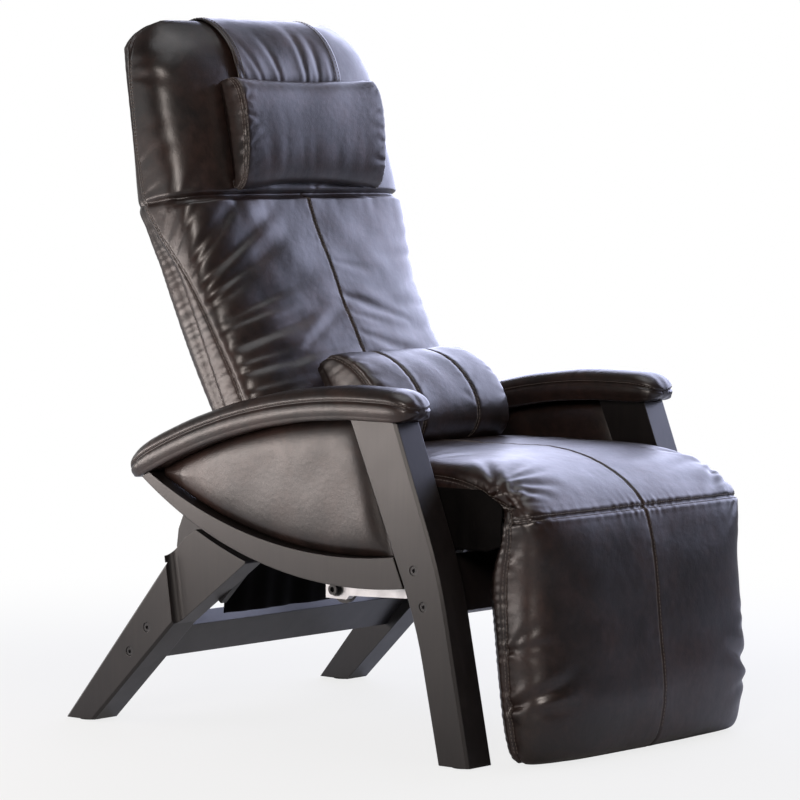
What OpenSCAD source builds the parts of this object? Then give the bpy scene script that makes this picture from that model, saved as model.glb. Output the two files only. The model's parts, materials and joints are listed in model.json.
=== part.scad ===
// Zero gravity recliner with a wooden frame and leather upholstery.
// Millimetres, +Z up. The chair faces -Y and the sitter's right is -X.
// The origin is on the floor, midway between the leg rest's front and the rear feet.

/* [Overall] */
// Width over the outer faces of the legs
frame_w = 690; // [620:5:830]
// From the origin back to the rear feet
depth_rear = 489; // [440:1:590]
// From the origin forward to the front feet
foot_front = 361; // [345:1:372]
// Height of the crest of the arm pads
arm_h = 570; // [555:1:640]
// Height of the top of the head section
back_top = 1145; // [1080:1:1300]

/* [Wooden frame] */
// Thickness of the legs and side rails
leg_t = 55; // [46:1:60]
// Length of a front foot on the floor
leg_foot_w = 61; // [50:1:75]
// Height of the bend in a front leg
leg_knee_z = 290; // [265:1:315]
// Set-back of the front edge at the bend
leg_knee_set = 57; // [48:1:66]
// Width of a front leg at the bend
leg_knee_w = 84; // [74:1:94]
// Set-back of the front edge under the arm
leg_top_set = 149; // [130:1:165]
// Width of a front leg under the arm
leg_top_w = 93; // [75:1:110]
// Length of a rear foot on the floor
rear_foot_w = 63; // [52:1:80]
// Depth of the recessed upper face of a rear leg
rear_step = 15; // [8:1:20]
// Height of the lowest point of the side rails
rail_z = 260; // [256:1:272]
// Radius of the lower edge of the side rails
rail_r = 766; // [740:1:800]
// Depth of the side rails at their lowest point
rail_d = 46; // [38:1:55]
// Radius of the upper edge of the side rails
rail_top_r = 812; // [800:1:840]
// Gap between the side rails and the rear legs
rail_gap = 15; // [8:1:20]
// Height of the front cross rail's board
front_rail_h = 90; // [75:1:96]
// Height of the rear cross rail's board
rear_rail_h = 74; // [68:1:90]
// Thickness of the cross rails
rail_t = 28; // [22:1:34]
// Thickness of the lap plates behind the rear legs
lap_t = 13; // [10:0.5:14]
// Chamfer on the outer edges of the legs
edge_c = 4; // [2:0.5:6]
// Diameter of the frame bolts
bolt_d = 8; // [6:1:10]
// Thickness of the floor glides
glide_t = 3; // [2:0.5:5]

/* [Arms] */
// Radius of the crest of the arm pads
arm_r = 1070; // [1000:5:1200]
// Width of the arm pads
arm_w = 78; // [66:1:90]
// Thickness of the arm pads
arm_t = 38; // [30:1:45]
// Thickness of the boards under the arm pads
board_t = 12; // [10:1:16]
// Thickness of the padded side panels
panel_t = 30; // [22:1:40]

/* [Seat] */
// Height of the seat
seat_h = 463; // [440:1:480]
// Gap between the seat cushion and the seat plates
seat_gap = 8; // [5:1:20]
// Radius of the seat's front roll
nose_r = 79; // [70:1:84]
// Depth of the sewn centre channel
channel = 6; // [3:1:9]

/* [Leg rest] */
// Length of the leg rest from its pivot
leg_len = 356; // [320:1:357]
// Thickness of the leg rest from its pivot to its front
leg_pad_t = 89; // [87:1:100]
// Width of the leg rest
leg_rest_w = 546; // [500:1:560]
// Lean of the leg rest
leg_lean = 10.7; // [8:0.1:14]

/* [Back] */
// Width of the back
back_w = 498; // [440:1:510]
// Lean of the lower back
back_lean = 27; // [25:0.5:32]
// Lean of the head section
head_lean = 6; // [4:0.5:12]
// Length of the lower back from its pivot
back_len = 555; // [520:1:600]
// Depth of the lower back in front of its frame
back_d = 108; // [95:1:120]
// Width of the head pillow
pillow_w = 344; // [300:1:420]
// Width of the flap that holds the head pillow
flap_w = 256; // [200:1:300]
// Width of the lumbar pillow
lumbar_w = 312; // [280:1:400]

/* [Mechanism] */
// Seat pivot, from the origin
pivot_y = -52; // [-60:1:-45]
// Height of the seat pivot
pivot_z = 248; // [246:1:249]
// Diameter of the seat pivot bolts
pivot_d = 12; // [10:1:14]
// Diameter of the frame tubes
tube_d = 22; // [18:1:22]
// Diameter of the shaft ends in the seat plates
journal_d = 16; // [12:1:17]
// Radial clearance of running fits
run_c = 0.08; // [0.04:0.01:0.1]
// Clearance between parts that only touch
part_c = 0.2; // [0.1:0.05:0.3]
// Thickness of the steel plates
plate_t = 6; // [4:1:8]
// Thickness of the pivot bar's end block
block_t = 14; // [10:1:16]

/* [Hidden] */
$fn = 48;

wood = [0.10, 0.075, 0.06];
steel = [0.62, 0.63, 0.65];
black = [0.06, 0.06, 0.065];
leather = [0.13, 0.095, 0.08];
ply = [0.62, 0.5, 0.36];

// Side faces of the frame, from the middle plane
x_out = frame_w / 2;
x_in = x_out - leg_t;
x_arm = x_out - 32;
x_plate = x_in - block_t - 4;
x_shaft = x_plate - plate_t - 4;
seat_hw = x_plate - plate_t - seat_gap;
leg_hw = min(leg_rest_w / 2, x_in - 12);
back_hw = min(back_w / 2, x_arm - arm_w / 2 - 12);

// Pivots as [y, z] points
P0 = [pivot_y, pivot_z];
P1 = [pivot_y + 172, pivot_z + 97];
P2 = [pivot_y - 298, pivot_z + 109];
tube_r = tube_d / 2;
journal_r = journal_d / 2;

// Centres of the side rail's arcs and of the arm's arcs
C1 = [-139, rail_z + rail_r];
C2 = [-110, rail_z + rail_d + rail_top_r];
CA = [-150, arm_h - arm_r];
arm_low_r = arm_r - arm_t - board_t;

// Front leg: outline points, bolts and cross rail
lf = [-foot_front, glide_t];
lr = [-foot_front + leg_foot_w, glide_t];
kf = [-foot_front + leg_knee_set, leg_knee_z];
kr = kf + [leg_knee_w - 36, -78];
tf = [-foot_front + leg_top_set, arm_h - arm_t - board_t + 12];
tr = tf + [leg_top_w, 0];
front_tilt = 19.4;
front_c = [-263, 268] + [361 - foot_front, 0];
front_u = [sin(front_tilt), cos(front_tilt)];
front_n = [cos(front_tilt), -sin(front_tilt)];

// Rear leg: outline points, bolts and cross rail
rr = [depth_rear, glide_t];
rf = [depth_rear - rear_foot_w, glide_t];
rk = [248, 174];
rc = [262, 272];
rear_d = (rc + rk) / 2 - (rr + rf) / 2;
rear_tilt = atan2(-rear_d[0], rear_d[1]);
rear_c = (rr + rf) / 2 + rear_d * 0.63 + [-6, 2];
rear_u = [-sin(rear_tilt), cos(rear_tilt)];
bolt_gap = 28.5;
bolt_r = bolt_d / 2;

// Seat layers
deck_z = P2[1] - 27 + tube_r + part_c;
deck_t = 10;
front_tube = [P2[0] + 88, P2[1] - 27];
rear_tube = [P1[0] - 60, P2[1] - 27];

// Actuator: base pin, seat pin and its slope
A0 = [-212, 296];
A1 = P0 + [0, 70];
act_len = norm(A1 - A0);
act_a = atan2(A1[1] - A0[1], A1[0] - A0[0]);

// Leg rest frame: n forward and d down from the leg pivot
function leg_at(n, d) = P2 + [-cos(leg_lean) * n - sin(leg_lean) * d,
    sin(leg_lean) * n - cos(leg_lean) * d];

// Back frame: t up and m forward from the back pivot, then from the bend
function back_at(t, m) = P1 + [sin(back_lean) * t - cos(back_lean) * m,
    cos(back_lean) * t + sin(back_lean) * m];
PB = back_at(back_len, 0);
head_len = (back_top - PB[1]) / cos(head_lean);
function head_at(t, m) = PB + [sin(head_lean) * t - cos(head_lean) * m,
    cos(head_lean) * t + sin(head_lean) * m];
board_m = tube_r + 0.3;
rear_m = 46;

// Point on the mitre of the bend at depth m, moved up by c
function mitre(m, c = 0) =
    let (f = head_at(0, 1) - PB, g = back_at(back_len, 1) - PB)
    PB + (f + g) * m / (1 + f * g) + [0, c];

// Points of a soft bend at b between a and c
function bend(a, b, c, l = 60, n = 5) =
    let (p = b + (a - b) * l / norm(a - b), q = b + (c - b) * l / norm(c - b))
    [for (i = [0:n]) let (u = i / n) p * (1 - u) * (1 - u) + b * 2 * u * (1 - u) + q * u * u];

// Cross-section of a cushion between back point b and front point f, w half wide
u_front = [-0.985, -0.93, -0.82, -0.62, -0.36, -0.07, 0, 0.07, 0.36, 0.62, 0.82, 0.93, 0.985];
u_back = [0.97, 0.7, 0, -0.7, -0.97];
function swell(u, p) = pow(max(0, 1 - pow(abs(u), p)), 1 / p);
function at3(x, p) = [x, p[0], p[1]];
function section(b, f, w, crown = 3, seam = 0, seam_d = 0, cx = 0) =
    let (s = seam_d / max(norm(f - b), 1))
    concat(
        [at3(cx - w, (b + f) / 2)],
        [for (u = u_front)
            at3(cx + w * u, b + (f - b) * (0.5 + 0.5 * swell(u, crown)
                - (abs(abs(u) - seam) < 0.02 ? s : 0)))],
        [at3(cx + w, (b + f) / 2)],
        [for (u = u_back) at3(cx + w * u, b + (f - b) * (0.5 - 0.5 * swell(u, 8)))]
    );

// Closed skin over a row of sections
module skin(rows) {
    n = len(rows[0]);
    m = len(rows);
    polyhedron(
        points = [for (r = rows) each r],
        faces = concat(
            [for (j = [1:n - 2]) [0, j + 1, j]],
            [for (i = [0:m - 2], j = [0:n - 1])
                [i * n + j, i * n + (j + 1) % n, (i + 1) * n + (j + 1) % n]],
            [for (i = [0:m - 2], j = [0:n - 1])
                [i * n + j, (i + 1) * n + (j + 1) % n, (i + 1) * n + j]],
            [for (j = [1:n - 2]) [(m - 1) * n, (m - 1) * n + j, (m - 1) * n + j + 1]]
        )
    );
}

// Side outline in [y, z], extruded along X from x0 to x1
module along_x(x0, x1) {
    translate([x0, 0, 0])
        rotate([90, 0, 90])
            linear_extrude(x1 - x0)
                children();
}

module rod_x(x0, x1, p, r) {
    translate([x0, p[0], p[1]])
        rotate([0, 90, 0])
            cylinder(h = x1 - x0, r = r);
}

// Round bar between two [y, z] points at one x
module bar(x, p, q, r) {
    translate([x, p[0], p[1]])
        rotate([-atan2(q[0] - p[0], q[1] - p[1]), 0, 0])
            cylinder(h = norm(q - p), r = r);
}

module disc(c, r) {
    translate(c)
        circle(r = r, $fn = 180);
}

// Chamfer along one outline edge of the outer face at x
module chamfer_cut(p, q, x, c) {
    e = (q - p) / norm(q - p);
    n = [e[1], -e[0]];
    multmatrix([
        [0, 1, 0, x],
        [n[0], 0, e[0], p[0] - e[0] * c],
        [n[1], 0, e[1], p[1] - e[1] * c],
        [0, 0, 0, 1]
    ])
        linear_extrude(norm(q - p) + 2 * c)
            polygon([[1, 1], [1, -c - 1], [-c - 1, 1]]);
}

module chamfer_row(pts, x, c) {
    for (i = [0:len(pts) - 2])
        chamfer_cut(pts[i], pts[i + 1], x, c);
}

module counterbores(c, u) {
    for (s = [-1, 1]) {
        rod_x(x_in - 1, x_out + 1, c + u * bolt_gap * s, bolt_r + 0.1);
        rod_x(x_out - 8, x_out + 1, c + u * bolt_gap * s, bolt_r + 3.5);
    }
}

// Wooden frame
front_edge = concat([tf], bend(tf, kf, lf), [lf]);
rear_edge = concat([lr], bend(lr, kr, tr), [tr]);

module front_leg() {
    color(wood)
        difference() {
            along_x(x_in, x_out)
                intersection() {
                    polygon(concat(front_edge, rear_edge));
                    disc(CA, arm_low_r - part_c);
                }
            chamfer_row(front_edge, x_out, edge_c);
            chamfer_row(rear_edge, x_out, edge_c);
            counterbores(front_c, front_u);
        }
}
module front_leg_left() { front_leg(); }
module front_leg_right() { mirror([1, 0, 0]) front_leg(); }

module rear_leg() {
    top = [[rk[0], rk[1]], [104, 280], [104, 300], [208, 352], [210, 327], [233, 314],
        [277, 270], rc];
    e = (rc - rk) / norm(rc - rk);
    n = [-e[1], e[0]];
    color(wood)
        difference() {
            union() {
                along_x(x_in, x_out)
                    polygon([rr, rc, rk, rf]);
                along_x(x_in, x_out - rear_step)
                    difference() {
                        polygon(top);
                        disc(C1, rail_r + rail_gap);
                    }
                intersection() {
                    along_x(x_in, x_out)
                        polygon(top);
                    multmatrix([
                        [0, 1, 0, x_out - rear_step],
                        [n[0], 0, e[0], rk[0] - e[0] * 20 - n[0]],
                        [n[1], 0, e[1], rk[1] - e[1] * 20 - n[1]],
                        [0, 0, 0, 1]
                    ])
                        linear_extrude(norm(rc - rk) + 40)
                            difference() {
                                translate([0, -1])
                                    square([rear_step + 1, rear_step + 1]);
                                translate([rear_step + 1, rear_step])
                                    circle(r = rear_step);
                            }
                }
            }
            chamfer_cut(rr, rc, x_out, edge_c);
            chamfer_cut(rk, rf, x_out, edge_c);
            counterbores(rear_c, rear_u);
        }
}
module rear_leg_left() { rear_leg(); }
module rear_leg_right() { mirror([1, 0, 0]) rear_leg(); }

module lap_plate() {
    color(black)
        along_x(x_in - lap_t, x_in - part_c)
            polygon([[193, 207], [262, 262], [284, 272], [289, 293], [285, 321], [273, 348],
                [235, 395], [130, 395], [104, 330], [140, 262]]);
}
module lap_plate_left() { lap_plate(); }
module lap_plate_right() { mirror([1, 0, 0]) lap_plate(); }

// Everything behind the front leg's rear edge, moved back by c
module behind_leg(c) {
    polygon([kr + [c, 0], [700, kr[1]], [700, 700], tr + (tr - kr) * 0.6 + [c, 0]]);
}

module side_rail() {
    color(wood)
        along_x(x_in, x_out)
            difference() {
                intersection() {
                    disc(C1, rail_r);
                    disc(CA, arm_low_r - part_c);
                    behind_leg(part_c);
                }
                disc(C2, rail_top_r);
            }
}
module side_rail_left() { side_rail(); }
module side_rail_right() { mirror([1, 0, 0]) side_rail(); }

module side_panel() {
    x_mid = x_in + leg_t / 2;
    color(leather)
        along_x(x_mid - panel_t / 2, x_mid + panel_t / 2)
            intersection() {
                disc(C2, rail_top_r - part_c);
                disc(CA, arm_low_r - part_c);
                behind_leg(2 * part_c);
                translate([-300, 200])
                    square([300 + 270, 400]);
            }
}
module side_panel_left() { side_panel(); }
module side_panel_right() { mirror([1, 0, 0]) side_panel(); }

// Point at angle a behind the crest and radius r from the arm's centre
function arm_at(a, r) = CA + r * [sin(a), cos(a)];
arm_front = -5.2;
arm_rear = 28.6;

module arm_board() {
    color(wood)
        along_x(x_arm - 30, x_arm + 30)
            intersection() {
                difference() {
                    disc(CA, arm_low_r + board_t);
                    disc(CA, arm_low_r);
                }
                polygon([CA, arm_at(arm_front + 1.6, 1300), arm_at(arm_rear - 1.8, 1300)]);
            }
}
module arm_board_left() { arm_board(); }
module arm_board_right() { mirror([1, 0, 0]) arm_board(); }

module arm_pad() {
    rows = 19;
    low = arm_r - arm_t + part_c;
    color(leather)
        skin([for (i = [0:rows])
            let (k = i / rows,
                e = swell(2 * k - 1, 7),
                a = arm_front + (arm_rear - arm_front) * k)
            section(arm_at(a, low), arm_at(a, low + (arm_t - part_c) * (0.45 + 0.55 * e)),
                arm_w / 2 * (0.5 + 0.5 * e), 3.2, cx = x_arm)]);
}
module arm_pad_left() { arm_pad(); }
module arm_pad_right() { mirror([1, 0, 0]) arm_pad(); }

// Board between the legs, centred at c and tilted to lie along u
module cross_rail(c, tilt, u, h) {
    difference() {
        translate([0, c[0], c[1]])
            rotate([-tilt, 0, 0])
                cube([2 * (x_in - part_c), rail_t, h], center = true);
        for (m = [-1, 1], s = [-1, 1])
            rod_x(m > 0 ? x_in - 42 : -x_in - 1, m > 0 ? x_in + 1 : -x_in + 42,
                c + u * bolt_gap * s, bolt_r + 0.05);
    }
}
module front_cross_rail() {
    color(wood) cross_rail(front_c, front_tilt, front_u, front_rail_h);
}
module rear_cross_rail() {
    color(wood) cross_rail(rear_c, -rear_tilt, rear_u, rear_rail_h);
}

// Socket-head bolt from the outer face into the cross rail
module frame_bolt(p) {
    difference() {
        union() {
            rod_x(x_in - 38, x_out - 7.8, p, bolt_r);
            rod_x(x_out - 7.8, x_out - 1, p, bolt_r + 3);
        }
        translate([x_out - 4.5, p[0], p[1]])
            rotate([0, 90, 0])
                cylinder(h = 6, r = bolt_r * 0.8, $fn = 6);
    }
}
module frame_bolts() {
    color(black)
        for (m = [0, 1], s = [-1, 1])
            mirror([m, 0, 0]) {
                frame_bolt(front_c + front_u * bolt_gap * s);
                frame_bolt(rear_c + rear_u * bolt_gap * s);
            }
}

module floor_glides() {
    color(black)
        for (m = [-1, 1], p = [(lf + lr) / 2, (rf + rr) / 2])
            translate([m * (x_in + leg_t / 2), p[0], 0])
                cylinder(h = glide_t - 0.05, r = 18);
}

// Silver bar that carries the seat pivot
bar_low = pivot_z - 9;
bar_top = pivot_z + 50;
module pivot_rail() {
    color(steel)
        difference() {
            union() {
                along_x(x_in - plate_t, x_in - part_c)
                    polygon([[-236, bar_low + 6], [P0[0] - 20, bar_low], [P0[0] + 12, bar_low],
                        [P0[0] + 12, bar_top], [-222, bar_top]]);
                along_x(x_in - block_t, x_in - part_c)
                    polygon([P0 + [-26, -9], P0 + [-20, -15], P0 + [22, -15], P0 + [22, 50],
                        P0 + [-26, 50]]);
            }
            rod_x(x_in - 30, x_in + 1, P0, pivot_d / 2 + 0.05);
        }
}
module pivot_rail_left() { pivot_rail(); }
module pivot_rail_right() { mirror([1, 0, 0]) pivot_rail(); }

module pivot_bolt() {
    color(black)
        difference() {
            union() {
                rod_x(x_shaft - 6, x_in + 1, P0, pivot_d / 2);
                rod_x(x_in + part_c, x_in + 3, P0, pivot_d / 2 + 5);
                rod_x(x_in + 3, x_in + 10, P0, pivot_d / 2 + 2.5);
                rod_x(x_plate + part_c, x_in - block_t - part_c, P0, pivot_d / 2 + 5);
                rod_x(x_shaft - 6, x_plate - plate_t - part_c, P0, pivot_d / 2 + 4);
            }
            translate([x_in + 5, P0[0], P0[1]])
                rotate([0, 90, 0])
                    cylinder(h = 6, r = pivot_d * 0.4, $fn = 6);
        }
}
module pivot_bolt_left() { pivot_bolt(); }
module pivot_bolt_right() { mirror([1, 0, 0]) pivot_bolt(); }

// Tilt actuator
cheek_x = 9;
cheek_t = 5;
module actuator_bracket() {
    face = front_c + front_n * (rail_t / 2 + part_c);
    color(steel) {
        for (m = [0, 1])
            mirror([m, 0, 0])
                along_x(cheek_x, cheek_x + cheek_t)
                    polygon([face - front_u * 5, A0 + [-4, -11], A0 + [10, -9], A0 + [10, 9],
                        face + front_u * 42]);
        translate([0, face[0], face[1]])
            rotate([-front_tilt, 0, 0])
                translate([-24, 0, -5])
                    cube([48, 4, 47]);
        rod_x(-cheek_x - cheek_t - 2, cheek_x + cheek_t + 2, A0, 5);
    }
}

// Local frame of the actuator: Y along the rod from the base pin
module act_frame() {
    translate([0, A0[0], A0[1]])
        rotate([act_a, 0, 0])
            children();
}
module rod_y(y0, y1, r, z = 0) {
    translate([0, y0, z])
        rotate([-90, 0, 0])
            cylinder(h = y1 - y0, r = r);
}
motor_z = -33;
module actuator_body() {
    color(black)
        act_frame()
            difference() {
                union() {
                    translate([-8, 0, -10])
                        cube([16, 20, 20]);
                    translate([-8.7, 18, motor_z - 15])
                        cube([17.4, 20, 60]);
                    rod_y(36, 105, 14);
                }
                rod_x(-20, 20, [0, 0], 5 + run_c);
                rod_y(42, 120, 7 + run_c);
            }
}
module actuator_motor() {
    color(black)
        act_frame()
            rod_y(38 + part_c, 118, 16, motor_z);
}
module actuator_rod() {
    color(steel)
        act_frame()
            difference() {
                union() {
                    rod_y(48, act_len - 8, 7);
                    rod_x(-8, 8, [act_len, 0], 14);
                }
                rod_x(-20, 20, [act_len, 0], 8);
            }
}

// Seat frame
module seat_plate() {
    color(black)
        difference() {
            union() {
                for (c = [[P0, 24], [P1, 20], [P2, 18]])
                    rod_x(x_plate - plate_t, x_plate, c[0], c[1]);
                along_x(x_plate - plate_t, x_plate)
                    polygon([P2 + [0, 17], P1 + [0, 19], P1 + [0, -19], [20, P2[1] - 37],
                        P0 + [21, -9], P0 + [-21, -9], [-130, P2[1] - 35],
                        front_tube + [0, -9], P2 + [0, -17]]);
            }
            rod_x(x_plate - 20, x_plate + 5, P0, pivot_d / 2 + run_c);
            rod_x(x_plate - 20, x_plate + 5, P1, journal_r + run_c);
            rod_x(x_plate - 20, x_plate + 5, P2, journal_r + run_c);
        }
}
module seat_plate_left() { seat_plate(); }
module seat_plate_right() { mirror([1, 0, 0]) seat_plate(); }

// Leather skirt outside a seat plate
module seat_skirt() {
    color(leather)
        along_x(x_plate + part_c, x_plate + 3)
            polygon([P2 + [12, 20], P2 + [12, -12], front_tube + [-18, -4], front_tube + [30, -4],
                [-60, P2[1] - 20], [-60, P2[1] + 60], P2 + [50, 60]]);
}
module seat_skirt_left() { seat_skirt(); }
module seat_skirt_right() { mirror([1, 0, 0]) seat_skirt(); }

module seat_tube(p) {
    rod_x(-x_plate + plate_t + part_c, x_plate - plate_t - part_c, p, tube_r);
}
module seat_front_tube() { color(black) seat_tube(front_tube); }
module seat_rear_tube() { color(black) seat_tube(rear_tube); }

module seat_deck() {
    color(ply)
        translate([-seat_hw + 2, front_tube[0] - 2, deck_z])
            cube([2 * seat_hw - 4, rear_tube[0] - front_tube[0] + 4, deck_t]);
}

module tilt_clevis() {
    color(steel) {
        for (m = [0, 1])
            mirror([m, 0, 0])
                along_x(cheek_x, cheek_x + cheek_t)
                    polygon([A1 + [-14, -14], A1 + [14, -14], [A1[0] + 24, deck_z - part_c],
                        [A1[0] - 24, deck_z - part_c]]);
        translate([-24, A1[0] - 24, deck_z - part_c - 4])
            cube([48, 48, 4]);
        rod_x(-cheek_x - cheek_t - 2, cheek_x + cheek_t + 2, A1, 6);
    }
}

module control_box() {
    color(black)
        difference() {
            translate([-55, rear_tube[0] - 80, deck_z - part_c - 30])
                cube([110, 64, 30]);
            translate([-21, rear_tube[0] - 28, deck_z - part_c - 25])
                cube([42, 20, 20]);
        }
}

// Geared drive round a shaft at p, held by an arm from the tube at q
module drive(p, q, x0, x1, r) {
    along = (q - p) / norm(q - p);
    side = [-along[1], along[0]] * (tube_r - 2);
    difference() {
        union() {
            rod_x(x0, x1, p, r);
            along_x((x0 + x1) / 2 - 20, (x0 + x1) / 2 + 20)
                polygon([p + along * (r - 6) + side, q + side, q - side, p + along * (r - 6) - side]);
        }
        rod_x(x0 - 1, x1 + 1, p, tube_r + run_c);
        rod_x(x0 - 1, x1 + 1, q, tube_r + part_c);
    }
}
module leg_drive() { color(black) drive(P2, front_tube, -65, 65, 28); }
module back_drive() { color(black) drive(P1, rear_tube, -65, 65, 26); }

// Seat cushion: flat top, then a roll round the leg pivot
seat_low = deck_z + deck_t + part_c;
seat_rear = P1[0] - 58;
roll_in = 38;
function seat_top_at(k) =
    k < 0.5 ? [seat_rear + (P2[0] + 85 - seat_rear) * k / 0.5, seat_h]
    : k < 0.68 ? let (b = (k - 0.5) / 0.18)
        [P2[0] + 85 * (1 - b), seat_h + (P2[1] + nose_r - seat_h) * (3 - 2 * b) * b * b]
    : let (a = 90 + 120 * (k - 0.68) / 0.32) P2 + nose_r * [cos(a), sin(a)];
function seat_low_at(k) =
    k < 0.5 ? [seat_rear + (P2[0] + 85 - seat_rear) * k / 0.5, seat_low]
    : k < 0.62 ? let (b = (k - 0.5) / 0.12) [P2[0] + 85 - 50 * b, seat_low + 15 * b]
    : let (a = 20 + 190 * (k - 0.62) / 0.38) P2 + roll_in * [cos(a), sin(a)];
module seat_cushion() {
    rows = 25;
    color(leather)
        skin([for (i = [0:rows])
            let (k = i / rows)
            section(seat_low_at(k), seat_top_at(k), seat_hw, 4.5, 0, channel)]);
}

// Leg rest
module leg_shaft() {
    color(black) {
        rod_x(-x_shaft, x_shaft, P2, tube_r);
        rod_x(-x_plate - 3, x_plate + 3, P2, journal_r);
    }
}

// Plate of the leg rest from x0 to x1, n0 to n1 and d0 to d1
module leg_slab(x0, x1, n0, n1, d0, d1) {
    along_x(x0, x1)
        polygon([leg_at(n0, d0), leg_at(n1, d0), leg_at(n1, d1), leg_at(n0, d1)]);
}
stile_n = -tube_r - 12;
board_n = -tube_r + 3;
stile_x = 178;
module leg_stile() {
    color(black)
        difference() {
            leg_slab(stile_x, stile_x + 25, stile_n, board_n, -10, 326);
            rod_x(0, 300, P2, tube_r + 0.05);
        }
}
module leg_stile_left() { leg_stile(); }
module leg_stile_right() { mirror([1, 0, 0]) leg_stile(); }
module leg_lower_bar() {
    color(black)
        leg_slab(-stile_x + part_c, stile_x - part_c, stile_n, board_n, 296, 318);
}
module leg_board() {
    color(ply)
        leg_slab(-leg_hw + 30, leg_hw - 30, board_n + part_c, board_n + 10, nose_r + 10, leg_len - 24);
}

// Leg rest cushion: hollowed above to clear the seat's front roll
pocket_r = nose_r + 2.5;
pad_n = board_n + 10 + part_c;
function leg_in_at(k) =
    let (a = 32 - (122 - asin(max(0, pad_n) / pocket_r)) * min(1, k / 0.45))
    k < 0.45 ? leg_at(pocket_r * cos(a), -pocket_r * sin(a))
    : leg_at(pad_n, pocket_r + (leg_len - pocket_r) * (k - 0.45) / 0.55);
function leg_out_n(d) = leg_pad_t - lookup(d, [[-46, 15], [-20, 3], [10, 0], [leg_len - 86, 0],
    [leg_len - 50, 6], [leg_len - 22, 24], [leg_len, 55]]);
function leg_out_at(k) =
    let (d = k < 0.45 ? -46 + 151 * k / 0.45 : 105 + (leg_len - 105) * (k - 0.45) / 0.55)
    leg_at(leg_out_n(d), d);
module leg_cushion() {
    rows = 25;
    color(leather)
        skin([for (i = [0:rows])
            let (k = i / rows, e = swell(max(0, (k - 0.7) / 0.32), 3))
            section(leg_in_at(k), leg_out_at(k),
                leg_hw * (0.88 + 0.07 * e + 0.05 * min(1, k / 0.5)), 4, 0, channel)]);
}

// Back frame
module back_shaft() {
    color(black) {
        rod_x(-x_shaft, x_shaft, P1, tube_r);
        rod_x(-x_plate - 3, x_plate + 3, P1, journal_r);
    }
}
stile_back_x = back_hw - 34;
head_tube_t = head_len - 52;
module back_stile() {
    color(black)
        difference() {
            union() {
                bar(stile_back_x, P1, PB, tube_r);
                translate([stile_back_x, PB[0], PB[1]])
                    sphere(r = tube_r + 0.6);
                bar(stile_back_x, PB, head_at(head_tube_t + tube_r + 4, 0), tube_r);
            }
            rod_x(0, x_out, P1, tube_r + 0.05);
        }
}
module back_stile_left() { back_stile(); }
module back_stile_right() { mirror([1, 0, 0]) back_stile(); }

module back_tube(p) {
    color(black)
        rod_x(-stile_back_x + tube_r + 0.1, stile_back_x - tube_r - 0.1, p, tube_r - 2);
}
module back_mid_tube() { back_tube(back_at(back_len - 240, 0)); }
module back_top_tube() { back_tube(head_at(head_tube_t, 0)); }

module back_board() {
    color(ply)
        along_x(-back_hw + 22, back_hw - 22)
            polygon([back_at(70, board_m), back_at(70, board_m + 10),
                back_at(back_len - 10, board_m + 10), back_at(back_len - 10, board_m)]);
}
module head_board() {
    w = back_hw - 22;
    top = head_len - 22;
    base = head_at(0, board_m);
    color(ply)
        translate([0, base[0], base[1]])
            rotate([90 - head_lean, 0, 0])
                linear_extrude(height = 10)
                    polygon([[-w, 6], [w, 6], [w, top - 75], [w - 18, top - 35], [w - 55, top],
                        [55 - w, top], [18 - w, top - 35], [-w, top - 75]]);
}

// Upholstery of the back
pad_m = board_m + 10 + part_c;
half_bend = tan((back_lean - head_lean) / 2);
function back_front_m(t) = lookup(t, [[54, 56], [72, 78], [100, 97], [125, back_d],
    [back_len - 235, back_d], [back_len - 125, back_d - 8], [back_len - 50, back_d - 26],
    [back_len - 5, back_d - 46]]);
// Half width of the back's padding: clear of the arms below, wider above them
function pad_hw(t) = lookup(t, [[330, min(back_hw + 12, x_arm - arm_w / 2 - 10)],
    [460, back_hw + 22], [back_len, back_hw + 25]]);
module back_cushion() {
    rows = 25;
    t0 = 54;
    tb = back_len - pad_m * half_bend - 1.5;
    tf = back_len - (back_d - 40) * half_bend - 1.5;
    color(leather)
        skin([for (i = [0:rows])
            let (k = i / rows, t = t0 + (tf - t0) * k)
            section(back_at(t0 + (tb - t0) * k, pad_m), back_at(t, back_front_m(t)), pad_hw(t), 4, 0,
                channel)]);
}

function head_front_m(t) = lookup(t, [[4, 64], [24, 82], [60, 87], [head_len - 105, 84],
    [head_len - 42, 61], [head_len - 12, 36], [head_len, 25]]);
module head_cushion() {
    rows = 19;
    tb = pad_m * half_bend + 1.5;
    tf = 70 * half_bend + 1.5;
    t1 = head_len - 4;
    color(leather)
        skin([for (i = [0:rows])
            let (k = i / rows, t = tf + (t1 - tf) * k,
                e = swell(max(0, (k - 0.6) / 0.42), 3))
            section(head_at(tb + (t1 - tb) * k, pad_m), head_at(t, head_front_m(t)),
                pad_hw(back_len) * (0.9 + 0.1 * e), 4)]);
}

module back_side() {
    color(leather)
        along_x(back_hw - 21, back_hw)
            polygon([back_at(64, -tube_r), back_at(64, pad_m - part_c),
                mitre(pad_m - part_c), head_at(head_len - 22, pad_m - part_c),
                head_at(head_len - 22, -tube_r), mitre(-tube_r)]);
}
module back_side_left() { back_side(); }
module back_side_right() { mirror([1, 0, 0]) back_side(); }

module back_panel() {
    color(leather)
        along_x(-back_hw, back_hw)
            polygon([back_at(70, -rear_m + 10), back_at(60, -board_m), mitre(-board_m - 0.6, -part_c),
                mitre(-rear_m, -part_c), back_at(84, -rear_m)]);
}
module head_panel() {
    color(leather)
        along_x(-back_hw, back_hw)
            polygon([mitre(-board_m - 0.6, part_c), head_at(head_len - 10, -board_m),
                head_at(head_len - 12, -board_m - 8), head_at(head_len - 32, -rear_m + 6),
                head_at(head_len - 52, -rear_m), mitre(-rear_m, part_c)]);
}

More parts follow.
